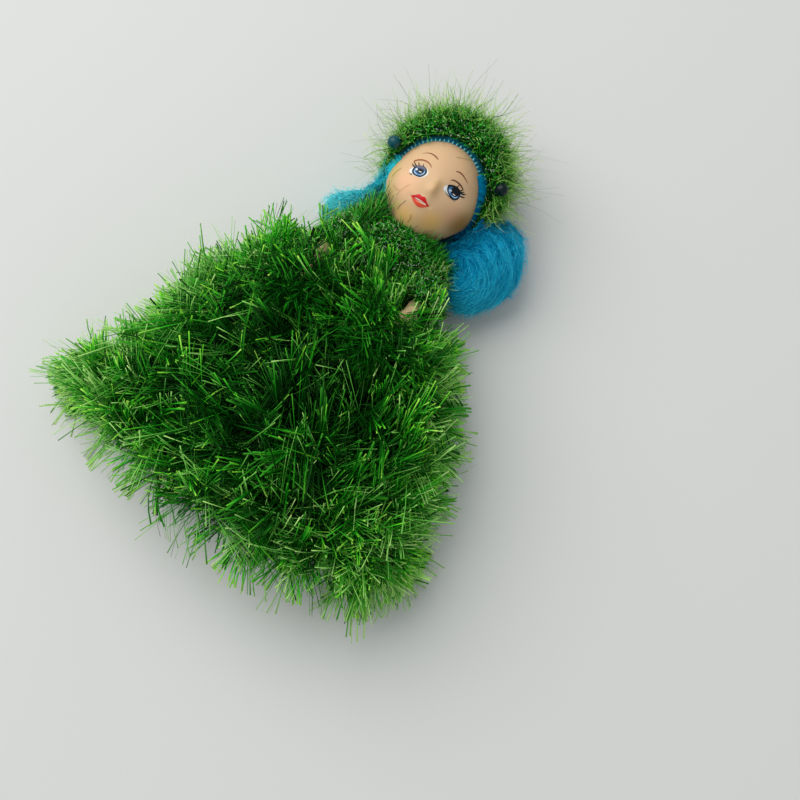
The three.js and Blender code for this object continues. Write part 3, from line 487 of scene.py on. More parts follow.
# Relief of the face: place across and up as shares of the half sizes, spreads, height
FACE_FORMS = [
    (0, -0.38, 0.115, 0.11, 1.3),
    (0, -0.27, 0.075, 0.12, 0.45),
    (-0.05, -0.6, 0.23, 0.092, 0.45),
    (0, -0.822, 0.25, 0.123, 0.7),
    (0.41, -0.184, 0.2, 0.14, -0.6),
    (-0.41, -0.184, 0.2, 0.14, -0.6),
    (-0.09, -0.548, 0.11, 0.035, 0.32),
    (-0.09, -0.648, 0.11, 0.045, 0.38),
    (-0.09, -0.597, 0.15, 0.014, -0.3),
    (-0.355, -0.59, 0.04, 0.04, -0.3),
    (0.13, -0.59, 0.04, 0.04, -0.3),
    (-0.035, -0.455, 0.03, 0.05, -0.15),
]


def bump(value, centre, spread):
    return np.exp(-(((value - centre) / spread) ** 2))


def head_surface(u, v, w, grow=0.0):
    """Points of the head's egg for unit directions, relative to the head's centre."""
    taper = 1 - 0.14 * np.maximum(0, -v) ** 2
    cheek = 0.9 * bump(v, -0.38, 0.3) * np.where(w > 0, 1, 0.4)
    relief = sum(h * bump(u, a, sx) * bump(v, b, sy) for a, b, sx, sy, h in FACE_FORMS)
    return np.stack([
        u * (HEAD_HALF[0] * taper + cheek + grow),
        v * (HEAD_HALF[1] + grow),
        w * (HEAD_HALF[2] + grow) + relief * np.maximum(0, w) ** 2,
    ], -1)


def on_head(points):
    """From the head's own frame, relative to its centre, to the part's frame."""
    return (np.asarray(points) + HEAD_CENTRE - HEAD_PIVOT) @ HEAD_ROTATION.T + HEAD_PIVOT


def egg(rows, columns, grow, lowest):
    """A grid over the head from the crown down to the lowest share of its height."""
    tilt = np.linspace(math.pi / 2, math.asin(lowest), rows)[:, None]
    turn = around(columns)[None, :]
    u = np.cos(tilt) * np.cos(turn)
    w = np.cos(tilt) * np.sin(turn)
    v = np.sin(tilt) * np.ones_like(turn)
    return head_surface(u, v, w, grow).reshape(-1, 3)


HEAD_ROWS, HEAD_COLUMNS, INNER_ROWS = 220, 260, 40
HEAD_WALL = 1.8
NECK_RING = -math.cos(math.asin(4.0 / 13))
outer = egg(HEAD_ROWS, HEAD_COLUMNS, 0.0, NECK_RING)
inner = egg(INNER_ROWS, HEAD_COLUMNS, -HEAD_WALL, NECK_RING)[::-1].reshape(INNER_ROWS, HEAD_COLUMNS, 3)
inner = np.roll(inner[:, ::-1], 1, axis=1).reshape(-1, 3)
head_quads = grid_quads(HEAD_ROWS + INNER_ROWS, HEAD_COLUMNS)[:, ::-1]
head = make_mesh("head_skin", on_head(np.concatenate([outer, inner])), head_quads)
BLUSH = (0.74, 0.30, 0.17)
# Blush, made lighter where light falls on the doll's right cheek: blush and painted light
BLUSH_AND_PAINTED_LIGHT = (0.98, 0.56, 0.34)
# Painted shade beside and under the nose and on the side of the face away from the light
SHADED = (0.50, 0.33, 0.11)
# Painted shadow on the doll's left cheek and under the chin
PAINTED_SHADOW = (0.34, 0.17, 0.03)
# Painted warm bounce light on the shaded chin
PAINTED_WARM_BOUNCE = (0.86, 0.50, 0.12)
# Painted green light bounced from the tinsel onto the face's right edge
PAINTED_GREEN_BOUNCE = (0.52, 0.42, 0.07)

# Where the face takes another tint: place from the head's centre, radius, tint and strength. The blush tints
# are the doll's own colour; the rest are painted light and shade: painted shade on the side away from the
# light, by the nose and under the chin, painted warm and green bounce light on the chin and the right edge,
# and painted light on the right cheek
FACE_TINTS = [
    ((-7.4, -7.6, 10.5), 6.5, BLUSH_AND_PAINTED_LIGHT, 0.65),
    ((8.4, -8.2, 9.0), 5.2, BLUSH, 0.35),
    ((-3.0, -14.6, 6.5), 6.0, PAINTED_WARM_BOUNCE, 0.6),
    ((4.5, -12.5, 8.5), 6.0, PAINTED_WARM_BOUNCE, 0.65),
    ((10.8, -6.5, 5.0), 7.5, PAINTED_SHADOW, 0.9),
    ((0.6, -4.2, 14.0), 3.0, SHADED, 0.45),
    ((12.5, -2.0, 3.0), 6.0, SHADED, 0.5),
    ((5.5, -15.0, 1.5), 6.5, PAINTED_SHADOW, 0.6),
    ((0.9, -6.2, 14.2), 2.2, SHADED, 0.3),
    ((-12.5, -4.5, 5.0), 5.5, PAINTED_GREEN_BOUNCE, 0.55),
    ((-11.2, -10.0, 5.0), 5.0, PAINTED_GREEN_BOUNCE, 0.55),
    ((-7.5, -13.8, 5.5), 4.5, PAINTED_GREEN_BOUNCE, 0.5),
    ((-0.2, -6.9, 15.0), 1.7, BLUSH, 0.2),
]
FACE_SKIN = skin_material("face_vinyl", ((0.70, 0.455, 0.255), (0.76, 0.50, 0.29)),
                          [(on_head(place), *rest) for place, *rest in FACE_TINTS])
dress(head, FACE_SKIN, "head", "skin", "head_shell")

# A lookup from a place on the face to its surface
face_quads = grid_quads(HEAD_ROWS, HEAD_COLUMNS)[:, ::-1].tolist()
face_tree = BVHTree.FromPolygons([tuple(p) for p in outer], face_quads)


ABOVE_FACE = 40.0


def on_face(xy, lift):
    """Points on the face above the given places, relative to the head's centre."""
    out = []
    for x, y in xy:
        hit, normal, _, _ = face_tree.ray_cast(Vector((x, y, ABOVE_FACE)), Vector((0, 0, -1)))
        if normal.z < 0:
            normal.negate()
        out.append(np.array(hit) + np.array(normal) * lift)
    return np.array(out)


# How far one layer of paint lies over the next, and how finely a decal follows the face
LAYER = 0.018
DECAL_STEP = 0.3


def decal(name, outline, layer, paint):
    """A thin layer of paint on the face inside a closed outline; a higher layer covers a lower one."""
    ring = [Vector(p) for p in outline]
    low, high = np.min(outline, 0), np.max(outline, 0)
    xs, ys = np.meshgrid(*(np.arange(low[i], high[i], DECAL_STEP) for i in (0, 1)))
    inside = [Vector(p) for p in np.stack([xs.ravel(), ys.ravel()], -1)]
    count = len(ring)
    edges = [(i, (i + 1) % count) for i in range(count)]
    found = delaunay_2d_cdt(ring + inside, edges, [], 1, 1e-4)
    places = np.array([p[:] for p in found[0]])
    obj = make_mesh(name, on_head(on_face(places, layer * LAYER)), tris=np.array(found[2]))
    dress(obj, PAINT[paint], "head", "skin")


def stroke(points, width, count=24, ends=(0.1, 0.1), peak=0.5):
    """The outline of a brush stroke, widest at peak, in millimetres."""
    line = catmull(points, count)
    way = unit(np.gradient(line, axis=0))
    across = np.stack([-way[:, 1], way[:, 0]], -1)
    s = np.linspace(0, 1, count)
    body = np.where(s < peak, ends[0] + (1 - ends[0]) * np.sin(s / peak * math.pi / 2),
                    ends[1] + (1 - ends[1]) * np.sin((1 - s) / (1 - peak) * math.pi / 2))
    half = (width / 2 * body)[:, None]
    return np.concatenate([line + across * half, (line - across * half)[::-1]])


def oval(cx, cy, rx, ry):
    a = np.linspace(0, TAU, 40, endpoint=False)
    return np.stack([cx + rx * np.cos(a), cy + ry * np.sin(a)], -1)


def blob(points):
    return catmull(points, 48, closed=True)


PAINT = {key: gloss_paint(*look) for key, look in {
    "white": ("eye_white", (0.86, 0.88, 0.88)),
    "black": ("eye_black", (0.006, 0.008, 0.012)),
    "navy": ("iris_navy", (0.012, 0.055, 0.16)),
    "blue": ("iris_blue", (0.06, 0.20, 0.42)),
    "pale": ("iris_pale", (0.36, 0.56, 0.76)),
    "lilac": ("lid_lilac", (0.16, 0.15, 0.20)),
    "crease": ("lid_crease", (0.34, 0.085, 0.02), 0.4),
    "brown": ("lid_crease_dark", (0.10, 0.028, 0.012), 0.4),
    "brow": ("brow_brown", (0.24, 0.048, 0.015), 0.4),
    "lip_red": ("lip_red", (0.72, 0.018, 0.022), 0.3),
    "lip_warm": ("lip_warm", (0.80, 0.085, 0.045), 0.3),
    "lip_line": ("lip_line", (0.38, 0.015, 0.012), 0.35),
    "thread": ("stray_thread", (0.38, 0.40, 0.10), 0.5),
    "dark_thread": ("dark_thread", (0.10, 0.09, 0.02), 0.5),
    "teeth": ("teeth", (0.92, 0.80, 0.68), 0.3),
}.items()}


def lashes(side, push, rows):
    """Tapered lashes that bow a little; a row holds root, tip and width."""
    for i, (root, tip, width) in enumerate(rows):
        bow = ((root[0] + tip[0]) / 2 + push, (root[1] + tip[1]) / 2 - 0.08)
        outline = stroke([root, bow, tip], 1.3 * width, 12, (1.0, 0.1), 0.2)
        decal(f"lash_{side}_{i}", outline, 8, "black")


# The doll's right eye
RIGHT_EYE = [(-8.35, -3.5), (-7.75, -2.45), (-6.9, -1.55), (-5.6, -1.15), (-4.3, -1.5), (-3.45, -2.3),
    (-3.5, -3.3), (-4.4, -4.35), (-5.6, -4.6), (-7.0, -4.5), (-7.8, -4.15)]
decal("eye_right_white", blob(RIGHT_EYE), 1, "white")
decal("eye_right_ring", blob([(-7.7, -3.1), (-7.45, -2.2), (-6.8, -1.5), (-5.6, -1.18), (-4.5, -1.5),
    (-3.85, -2.4), (-3.95, -3.35), (-4.65, -4.3), (-5.6, -4.5), (-6.6, -4.4), (-7.3, -3.95)]), 2, "black")
decal("eye_right_iris", blob([(-7.3, -3.05), (-7.0, -2.2), (-6.3, -1.7), (-5.5, -1.55), (-4.7, -1.85),
    (-4.25, -2.6), (-4.4, -3.35), (-4.95, -3.95), (-5.6, -4.15), (-6.4, -4.05), (-7.0, -3.65)]), 3,
    "blue")
decal("eye_right_navy", blob([(-6.75, -3.0), (-6.5, -2.2), (-5.6, -1.9), (-4.75, -2.2), (-4.5, -2.9),
    (-4.9, -3.45), (-5.6, -3.6), (-6.4, -3.5)]), 4, "navy")
decal("eye_right_pupil", oval(-5.55, -2.75, 0.78, 0.62), 5, "black")
decal("eye_right_shade", blob([(-7.2, -2.2), (-6.75, -1.62), (-5.9, -1.3), (-5.0, -1.42), (-4.45, -1.8),
    (-4.75, -2.05), (-5.5, -1.98), (-6.3, -2.1)]), 6, "lilac")
decal("eye_right_arc", stroke([(-5.3, -3.95), (-4.75, -3.55), (-4.42, -2.9), (-4.5, -2.25)], 0.34), 6,
    "pale")
decal("eye_right_glow", stroke([(-7.05, -3.1), (-6.75, -3.6), (-6.2, -3.9), (-5.6, -3.95)], 0.32), 6,
    "pale")
decal("eye_right_spark", oval(-6.68, -2.72, 0.3, 0.3), 7, "white")
decal("eye_right_glint", stroke([(-6.0, -2.92), (-5.5, -2.98), (-5.0, -2.9)], 0.26), 7, "white")
lashes("right", -0.05, [
    ((-7.35, -2.35), (-8.7, -1.5), 0.26), ((-7.15, -1.95), (-8.25, -0.95), 0.26),
    ((-6.6, -1.5), (-7.25, -0.55), 0.2), ((-5.5, -1.25), (-5.85, -0.6), 0.16),
    ((-7.0, -4.4), (-7.75, -4.5), 0.2)])
decal("crease_right", stroke([(-8.1, -1.3), (-8.45, -0.75), (-7.9, -0.2), (-6.97, 0.24), (-5.95, 0.36),
    (-4.91, 0.2), (-4.05, -0.2), (-3.48, -0.72)], 0.36, 40, (0.5, 0.3)), 8, "crease")
decal("brow_right", stroke([(-7.95, 2.17), (-7.16, 2.66), (-6.27, 3.0), (-5.35, 3.05), (-4.43, 2.85),
    (-3.6, 2.5), (-3.12, 2.2)], 0.4, 40, (0.15, 0.4), 0.7), 1, "brow")

# The doll's left eye
LEFT_EYE = [(2.15, -3.75), (2.35, -2.9), (2.9, -2.15), (3.9, -1.6), (5.3, -1.3), (6.6, -1.45),
    (7.35, -1.9), (7.3, -2.9), (6.9, -3.8), (6.0, -4.5), (4.4, -4.5), (3.2, -4.45)]
decal("eye_left_white", blob(LEFT_EYE), 1, "white")
decal("eye_left_ring", blob([(2.95, -2.9), (3.35, -3.6), (4.15, -4.15), (5.15, -4.42), (6.1, -4.35),
    (6.8, -3.95), (7.15, -3.2), (7.1, -2.3), (6.7, -1.75), (6.0, -1.4), (5.2, -1.25), (4.3, -1.42),
    (3.4, -1.9), (2.98, -2.4)]), 2, "black")
decal("eye_left_iris", blob([(3.4, -2.95), (3.8, -3.55), (4.5, -3.95), (5.3, -4.1), (6.1, -4.0),
    (6.65, -3.5), (6.75, -2.75), (6.3, -2.1), (5.4, -1.75), (4.4, -1.85), (3.6, -2.25)]), 3, "blue")
decal("eye_left_navy", blob([(4.1, -2.9), (4.5, -3.4), (5.2, -3.65), (6.0, -3.5), (6.5, -3.0),
    (6.6, -2.2), (5.8, -1.75), (4.8, -1.75), (4.15, -2.1)]), 4, "black")
decal("eye_left_lid", stroke([(2.75, -2.5), (3.3, -2.0), (4.28, -1.5), (5.18, -1.3), (6.09, -1.4),
    (6.9, -1.75)], 0.42, 30, (0.4, 0.7), 0.6), 6, "black")
decal("eye_left_arc", stroke([(4.9, -3.82), (5.7, -3.85), (6.3, -3.5), (6.62, -2.85)], 0.32), 6, "pale")
decal("eye_left_glow", stroke([(3.6, -2.9), (3.9, -3.35), (4.45, -3.7)], 0.42), 6, "pale")
decal("eye_left_spark", oval(4.16, -3.02, 0.34, 0.3), 7, "pale")
decal("eye_left_spark_core", oval(4.12, -2.98, 0.2, 0.18), 8, "white")
decal("eye_left_glint", stroke([(4.95, -3.22), (5.45, -3.26), (5.95, -3.16)], 0.24), 7, "white")
decal("eye_left_lower", stroke([(2.75, -4.0), (3.4, -4.35), (4.44, -4.5), (5.82, -4.52), (6.9, -4.3)],
    0.2, 30), 8, "black")
lashes("left", 0.05, [
    ((5.0, -1.3), (5.3, -0.3), 0.24), ((6.2, -1.5), (6.8, -0.5), 0.24), ((6.8, -1.8), (8.2, -0.85), 0.3),
    ((7.05, -2.4), (8.35, -1.75), 0.28), ((6.6, -1.6), (7.5, -0.65), 0.2)])
decal("crease_left", stroke([(2.73, -0.95), (3.25, -0.4), (4.26, -0.12), (5.22, -0.1), (6.0, -0.2),
    (6.65, -0.45), (6.95, -0.75)], 0.36, 40, (0.3, 0.5)), 8, "brown")
decal("brow_left", stroke([(2.63, 2.03), (3.29, 2.45), (4.15, 2.62), (4.98, 2.5), (5.82, 2.24),
    (6.6, 1.96), (7.18, 1.75)], 0.42, 40, (0.4, 0.15), 0.3), 1, "brow")

# The mouth
decal("lip_upper", np.concatenate([catmull([(-4.47, -9.46), (-3.8, -9.2), (-3.19, -8.9), (-2.6, -8.48),
    (-2.1, -8.36), (-1.5, -8.6), (-0.95, -8.42), (-0.42, -8.5), (0.05, -8.85), (0.65, -9.25),
    (1.61, -9.57)], 40), catmull([(1.61, -9.6), (0.98, -9.72), (0.1, -9.6), (-0.87, -9.52), (-2.1, -9.44),
    (-3.13, -9.38), (-4.4, -9.5)], 24)]), 1, "lip_red")
decal("lip_lower", np.concatenate([catmull([(-4.1, -9.55), (-3.77, -9.85), (-3.07, -10.35),
    (-2.01, -10.9), (-1.1, -11.12), (-0.2, -10.95), (0.65, -10.45), (1.2, -9.98), (1.55, -9.62)], 40),
    catmull([(1.3, -9.7), (0.5, -9.92), (-0.8, -9.9), (-2.0, -9.8), (-3.1, -9.65), (-4.0, -9.52)], 24)]),
    1, "lip_warm")
decal("mouth_line", stroke([(-3.9, -9.52), (-3.13, -9.5), (-2.1, -9.6), (-0.87, -9.72), (0.21, -9.76),
    (1.2, -9.68)], 0.42, 36, (0.2, 0.2)), 2, "lip_line")
decal("teeth", stroke([(-3.0, -9.5), (-2.2, -9.58), (-1.32, -9.68), (-0.4, -9.78), (0.6, -9.76)],
    0.42, 30, (0.15, 0.2), 0.7), 3, "teeth")


# Hair: the rooted band, and the loose bunches

def along_hairline(angle):
    """A direction in the plane of the hairline."""
    return np.array([math.cos(angle), math.sin(angle) * HAIRLINE_NORMAL[2],
                     -math.sin(angle) * HAIRLINE_NORMAL[1]])


def hairline_point(angle, grow, back=0.0):
    """Where the grown egg of the head meets a plane parallel to the hairline."""
    start = np.array([0, 0, HAIRLINE_FORWARD]) - HAIRLINE_NORMAL * back
    way = along_hairline(angle)
    p, d = start / (HEAD_HALF + grow), way / (HEAD_HALF + grow)
    a, b = d @ d, p @ d
    return start + way * (-b + math.sqrt(b * b - a * (p @ p - 1))) / a


def from_head(points):
    """From the part's frame to the head's own frame, relative to its centre."""
    return (np.asarray(points) - HEAD_PIVOT) @ HEAD_ROTATION + HEAD_PIVOT - HEAD_CENTRE


def off_head(points, gap):
    """Moves points that are in the head, or nearer to it than the gap, out of it."""
    own = from_head(points)
    level = np.linalg.norm(own / (HEAD_HALF + gap), axis=-1, keepdims=True)
    return on_head(own / np.minimum(level, 1))


def towards_head(points, share):
    """Moves points outside the head towards its surface, to a share of their distance."""
    own = from_head(points)
    level = np.linalg.norm(own / HEAD_HALF, axis=-1)
    return on_head(own / level[:, None] * (1 + np.maximum(level - 1, 0) * share)[:, None])


band = remeshed("hair_band", [node_points("hair_roots")], 0.4, 3)
dress(band, ROOT_BASE, "head", "hair", "hair_roots")

# The rooted plugs along the hairline; a station is a place back from it and a height off the head
DOTS = 27
DOT_STATIONS = ((-0.3, 0.0), (-0.2, 0.34), (0.08, 0.46), (0.22, 0.2))
dots = []
for i in range(DOTS):
    angle = (0.18 + 0.82 * (i + 0.5) / DOTS) * math.pi
    dots.append([on_head(hairline_point(angle, grow, back)) for back, grow in DOT_STATIONS])
dots = np.array(dots)
dot_side = np.gradient(dots[:, 0], axis=0)[:, None, :] * np.ones((1, 4, 1))
dot_tone = np.clip(10 + 60 * np.sin(np.linspace(0, 1, DOTS) * math.pi * 0.8 + 0.25), 8, 62)
strands("hair_plugs", dots, [0.16, 0.26, 0.26, 0.16], TUFT_PAINTED_HIGHLIGHT, "head", "hair", 0.9, dot_tone, dot_side)


def combed(name, count, angles, back, grow, drift, tone, paint=HAIR):
    """Hair combed over the head from its front edge back under the cap; angles are in half turns."""
    turn = rng.random(count)
    angle = (angles[0] + (angles[1] - angles[0]) * turn) * math.pi
    start = back[0] + rng.normal(0, 0.12, count)
    rise = grow * (0.6 + 0.6 * rng.random(count))
    paths = np.array([[
        on_head(hairline_point(angle[i] + drift * s * s,
                               0.12 + rise[i] * math.sin(math.pi / 2 * min(1, 2.2 * s)),
                               start[i] + (back[1] - start[i]) * s))
        for s in np.linspace(0, 1, 7)] for i in range(count)])
    width = np.array([0.6, 1, 1, 1, 1, 1, 0.7]) * 0.13
    strands(name, paths, width, paint, "head", "hair", 0.5, tone(turn) + rng.normal(0, 5, count))


combed("hair_front", 1500, (0.14, 1.06), (0.0, 4.5), 1.25, 0.0, lambda t: 24 + 22 * t + 10 * np.sin(12 * t))
combed("hair_cheek_left", 700, (-0.22, 0.26), (-1.3, 3.0), 1.3, -0.35, lambda t: 20 + 16 * t)
combed("hair_cheek_right", 900, (0.96, 1.22), (-1.6, 3.5), 1.6, 0.3, lambda t: 30 + 20 * t, PALE_HAIR)


# Fibres of the tinsel that lie on the face: paint, places and width
THREADS = [
    ("thread", [(0.6, 5.8), (2.25, 6.87), (3.65, 7.74), (5.14, 8.67)], 0.12),
    ("thread", [(-10.6, -3.4), (-11.3, -4.6), (-11.6, -6.0)], 0.14),
    ("thread", [(-10.0, -9.6), (-8.2, -11.6), (-5.9, -13.2)], 0.16),
    ("dark_thread", [(-5.9, -6.9), (-7.0, -8.4), (-7.9, -10.3)], 0.06),
    ("dark_thread", [(-9.9, -8.0), (-8.8, -8.8), (-7.6, -9.2)], 0.06),
    ("dark_thread", [(-4.6, -10.9), (-5.3, -12.0), (-5.5, -13.0)], 0.1),
    ("dark_thread", [(-1.4, -13.2), (-1.1, -14.0), (-1.3, -14.7)], 0.1),
]
for i, (paint, points, width) in enumerate(THREADS):
    paths = on_head(on_face(catmull(points, 24), 0.09))[None]
    strands(f"face_thread_{i}", paths, np.full(24, width / 2), PAINT[paint], "head", "tinsel_knit", 0.5)


def above(paths, low):
    """Keeps fibres at least that high over the floor."""
    paths[..., 2] = np.maximum(paths[..., 2], low)
    return paths


def shares(steps):
    """The place of each step along a fibre, from 0 at the root to 1 at the tip."""
    return np.linspace(0, 1, steps)[None, :, None]


def lay_flakes(name, count, reach, half_width, paint, ground, body, slot_name="tinsel_knit", keep=None,
               lean=0.45, steps=3, lift=0.1, curl=0.12, tone=None):
    """Short fibres that lie over a ground in all directions."""
    roots, normals = scatter(ground, count, keep)
    random = unit(rng.normal(size=(count, 3)))
    flat_way = unit(random - (random * normals).sum(1, keepdims=True) * normals)
    way = unit(flat_way + normals * (lean * rng.random((count, 1)) + 0.12))
    length = reach * (0.6 + 0.8 * rng.random((count, 1)))
    bend = unit(rng.normal(size=(count, 3)))
    bend = unit(bend - np.minimum((bend * normals).sum(1, keepdims=True), 0) * normals)
    bend = bend[:, None, :] * length[:, None] * curl
    s = shares(steps)
    start = roots + normals * (lift + 0.5 * rng.random((count, 1)))
    paths = above(start[:, None] + way[:, None] * length[:, None] * s + bend * s ** 2, 0.15)
    width = half_width * np.interp(np.linspace(0, 1, steps), [0, 0.5, 1], [0.7, 1.0, 0.5])
    width = width * (0.6 + 0.8 * rng.random((count, 1)))
    tones = None if tone is None else tone(roots)
    return strands(name, paths, width, paint, body, slot_name, 0.2, tones)


SIDES = {1: "left", -1: "right"}
HAIR_INSET = 1.0
HAIR_STEPS = 8
HAIR_WIDTH = np.array([0.3, 0.8, 1, 1, 1, 1, 0.6, 0.1]) * 0.085
LOOSE_HAIRS = 600


def hair_mass(name, node, count, stride, frizz, swirl_at, shape):
    """A bunch of combed hair: a soft mass, and fibres that sweep over it round a centre."""
    mass = remeshed(name, [node_points(node)], 0.6, 14)
    set_points(mass, points_of(mass) - normals_of(mass) * HAIR_INSET)
    set_points(mass, shape(points_of(mass)))
    points = points_of(mass)
    tree = BVHTree.FromPolygons([tuple(p) for p in points], [tuple(f.vertices) for f in mass.data.polygons])
    position, _ = scatter(mass, count, lambda p, n: 0.2 + np.clip(n[:, 2] + 0.5, 0, 1))
    sense = 1.0 if swirl_at[0] > 0 else -1.0
    paths = np.zeros((count, HAIR_STEPS, 3))
    swirl = rng.normal(0, 0.5, count)
    for s in range(HAIR_STEPS):
        paths[:, s] = position
        moved = []
        for i in range(count):
            normal = np.array(tree.find_nearest(Vector(position[i]))[1])
            away = position[i] - swirl_at
            curl = np.array([away[1], -away[0], 0.0]) * sense
            curl = curl / max(np.linalg.norm(curl), 1.0)
            way = curl - normal * (curl @ normal)
            way = way / max(np.linalg.norm(way), 0.3) + np.cross(normal, curl) * 0.45 * swirl[i]
            target = position[i] + way / np.linalg.norm(way) * stride
            hit, normal, _, _ = tree.find_nearest(Vector(target))
            stray = frizz * (s / HAIR_STEPS) ** 2 * abs(math.sin(3.3 * i))
            lift = 0.15 + 0.5 * abs(math.sin(7.1 * i)) + stray
            moved.append(np.array(hit) + np.array(normal) * lift)
        position = np.array(moved)
    paths = above(paths, 0.1)
    paths += rng.normal(0, 0.05, paths.shape)
    return mass, off_head(paths, 0.3)


def left_tone_painted_shade(places):
    """Painted shade: navy under the cap's edge and beside the face; bright blue on the bunch's outer side."""
    return 12 + 30 * np.clip((places[:, 0] - 13) / 12, 0, 1) + 10 * np.clip((54 - places[:, 1]) / 20, 0, 1)


def right_tone(places):
    return 26 + 26 * np.clip((-places[:, 0] - 14) / 8, 0, 1)


def locks(places):
    """Bands of lighter and darker hair."""
    return 14 * np.sin(places @ np.array([0.9, 1.3, 0.7]))


def slim_right(points):
    """The right bunch lies close to the cheek and spreads over the shoulder."""
    bound = np.interp(points[:, 1], [34, 37, 40, 44, 52], [-25.0, -20.0, -15.8, -14.2, -14.8])
    across = points[:, 0] - 0.95 * np.minimum(points[:, 0] - bound, 0)
    return np.stack([across, points[:, 1], points[:, 2]], -1)


for label, count, stride, frizz, swirl_at, shape, tone, paint in (
        ("left", 4300, 1.7, 0.8, (16.5, 36.0, 10.0), lambda points: points, left_tone_painted_shade, HAIR),
        ("right", 2600, 1.3, 2.2, (-12.0, 30.0, 10.0), slim_right, right_tone, PALE_HAIR)):
    node = f"hair_bunch_{label}"
    mass, paths = hair_mass(f"hair_mass_{label}", node, count, stride, frizz, np.array(swirl_at), shape)
    middle = paths.mean(1)
    tones = tone(middle) + locks(middle) + rng.normal(0, 12, count)
    strands(f"hair_fibres_{label}", paths, HAIR_WIDTH, paint, "head", "hair", 0.5, tones)
    loose = paths[:LOOSE_HAIRS]
    loose = loose + (loose - loose[:, :1]) * 0.25
    blown = rng.normal(0, 0.8, (LOOSE_HAIRS, 1, 3)) + [0, 0, 0.6]
    loose = above(loose + blown * np.linspace(0.2, 1, HAIR_STEPS)[None, :, None] ** 2, 0.1)
    strands(f"hair_loose_{label}", off_head(loose, 0.4), HAIR_WIDTH * 0.5, paint, "head", "hair", 0.5,
            tones[:LOOSE_HAIRS] + 10)
    dress(mass, HAIR_BASE, "head", "hair", node)
    lay_flakes(f"hair_fluff_{label}", 3200, 2.2, 0.055, paint, mass, "head", "hair", None, 0.12, 6, 0.5, 0.8,
               lambda p, tone=tone: tone(p) + locks(p) + 8 + rng.normal(0, 12, len(p)))


# Cap, bodice and sleeves: knit grounds with tinsel

def fringe(name, count, reach, half_width, paint, ground, body, keep, out, steps=6, curl=0.35):
    """Long fine fibres that stand away from a knit ground."""
    roots, normals = scatter(ground, count, keep)
    way = unit(normals * 0.8 + out(roots) * 0.7 + rng.normal(0, 0.45, (count, 3)))
    length = (reach * (0.22 + 0.78 * rng.random((count, 1)) ** 1.8))[:, None]
    s = shares(steps)
    bend = unit(rng.normal(size=(count, 3)))[:, None, :] * length * curl
    crinkle = unit(rng.normal(size=(count, 3)))[:, None, :] * length * 0.12 * curl * np.sin(2.2 * math.pi * s)
    paths = above(roots[:, None] + way[:, None] * length * s + bend * s ** 2 + crinkle, 0.15)
    return strands(name, paths, half_width * np.linspace(1, 0.45, steps), paint, body, "tinsel_knit", 0.6)


def roughen(obj, amount, scale, seed):
    """Soft unevenness of a bulky hand knit."""
    points, normals = points_of(obj), normals_of(obj)
    ways = np.array([[1.0, 0.3, 0.2], [-0.4, 1.1, 0.5], [0.3, -0.6, 1.2], [0.9, 0.9, -0.5]])
    wave = sum(np.sin(points @ (way * scale) + seed * i) for i, way in enumerate(ways, 1))
    set_points(obj, points + normals * (wave * amount / 2)[:, None])


cap_centre = on_head([1, 4.5, 0])
cap = remeshed("cap_knit", [node_points("cap")], 0.5, 3)
roughen(cap, 0.3, 2.2, 1.3)
cap_points = points_of(cap)
low_share = np.clip((59 - cap_points[:, 1]) / 8, 0, 1)
slimmed = above(towards_head(cap_points, 0.78 - 0.36 * low_share), 0.05)
set_points(cap, off_head(slimmed, 0.9))
dress(cap, KNIT, "head", "tinsel_knit", "cap")


def from_cap(points):
    return unit(points - cap_centre)


def outside_cap(points, normals):
    return ((normals * from_cap(points)).sum(1) > 0.15) * (points[:, 2] > 0.6)


def at_rim(points, normals):
    """More fibres the farther out a place lies, seen from above."""
    out = np.linalg.norm((points - cap_centre)[:, :2], axis=1)
    return outside_cap(points, normals) * np.clip(0.15 + out / 20, 0, 1) ** 6


on_cap = {"ground": cap, "body": "head", "keep": outside_cap}
cap_pieces = [
    lay_flakes("cap_tinsel_a", 8500, 1.7, 0.11, TINSEL, lean=0.4, curl=0.3, **on_cap),
    lay_flakes("cap_tinsel_b", 7600, 2.1, 0.075, TINSEL, lean=0.55, steps=5, curl=0.7, **on_cap),
    lay_flakes("cap_tinsel_c", 1300, 1.3, 0.11, LIME, lean=0.7, lift=0.9, **on_cap),
    lay_flakes("cap_sparkle", 1200, 0.45, 0.09, PAINTED_SPARKLE, lean=0.7, lift=1.1, **on_cap),
    fringe("cap_fringe", 3000, 7.0, 0.085, LIME, cap, "head", at_rim, from_cap, 9, 1.0),
    fringe("cap_flyaway", 600, 9.5, 0.05, FLYAWAY, cap, "head", at_rim, from_cap, 10, 1.1),
]

bodice = remeshed("bodice_knit", [node_points("bodice")], 0.42, 3)
roughen(bodice, 0.22, 2.4, 0.7)
dress(bodice, KNIT, "torso", "tinsel_knit", "bodice")


def outside_body(points, normals):
    away = (points - [0, 0, BODY_Z]) * [1, 0, 1]
    return (normals * unit(away)).sum(1) > 0.2


def ruff(name, roots, way, length, sway, half_width, paint, steps):
    """Tinsel that rises from its roots and bends clear of the head."""
    bend = rng.normal(0, sway, (len(roots), 1, 3)) * length[:, None]
    s = shares(steps)
    paths = above(off_head(roots[:, None] + way[:, None] * length[:, None] * s + bend * s ** 2, 0.5), 0.3)
    return strands(name, paths, half_width * np.linspace(1, 0.5, steps), paint, "torso", "tinsel_knit", 0.4)


NECK_FRONT_SHARE = 0.75


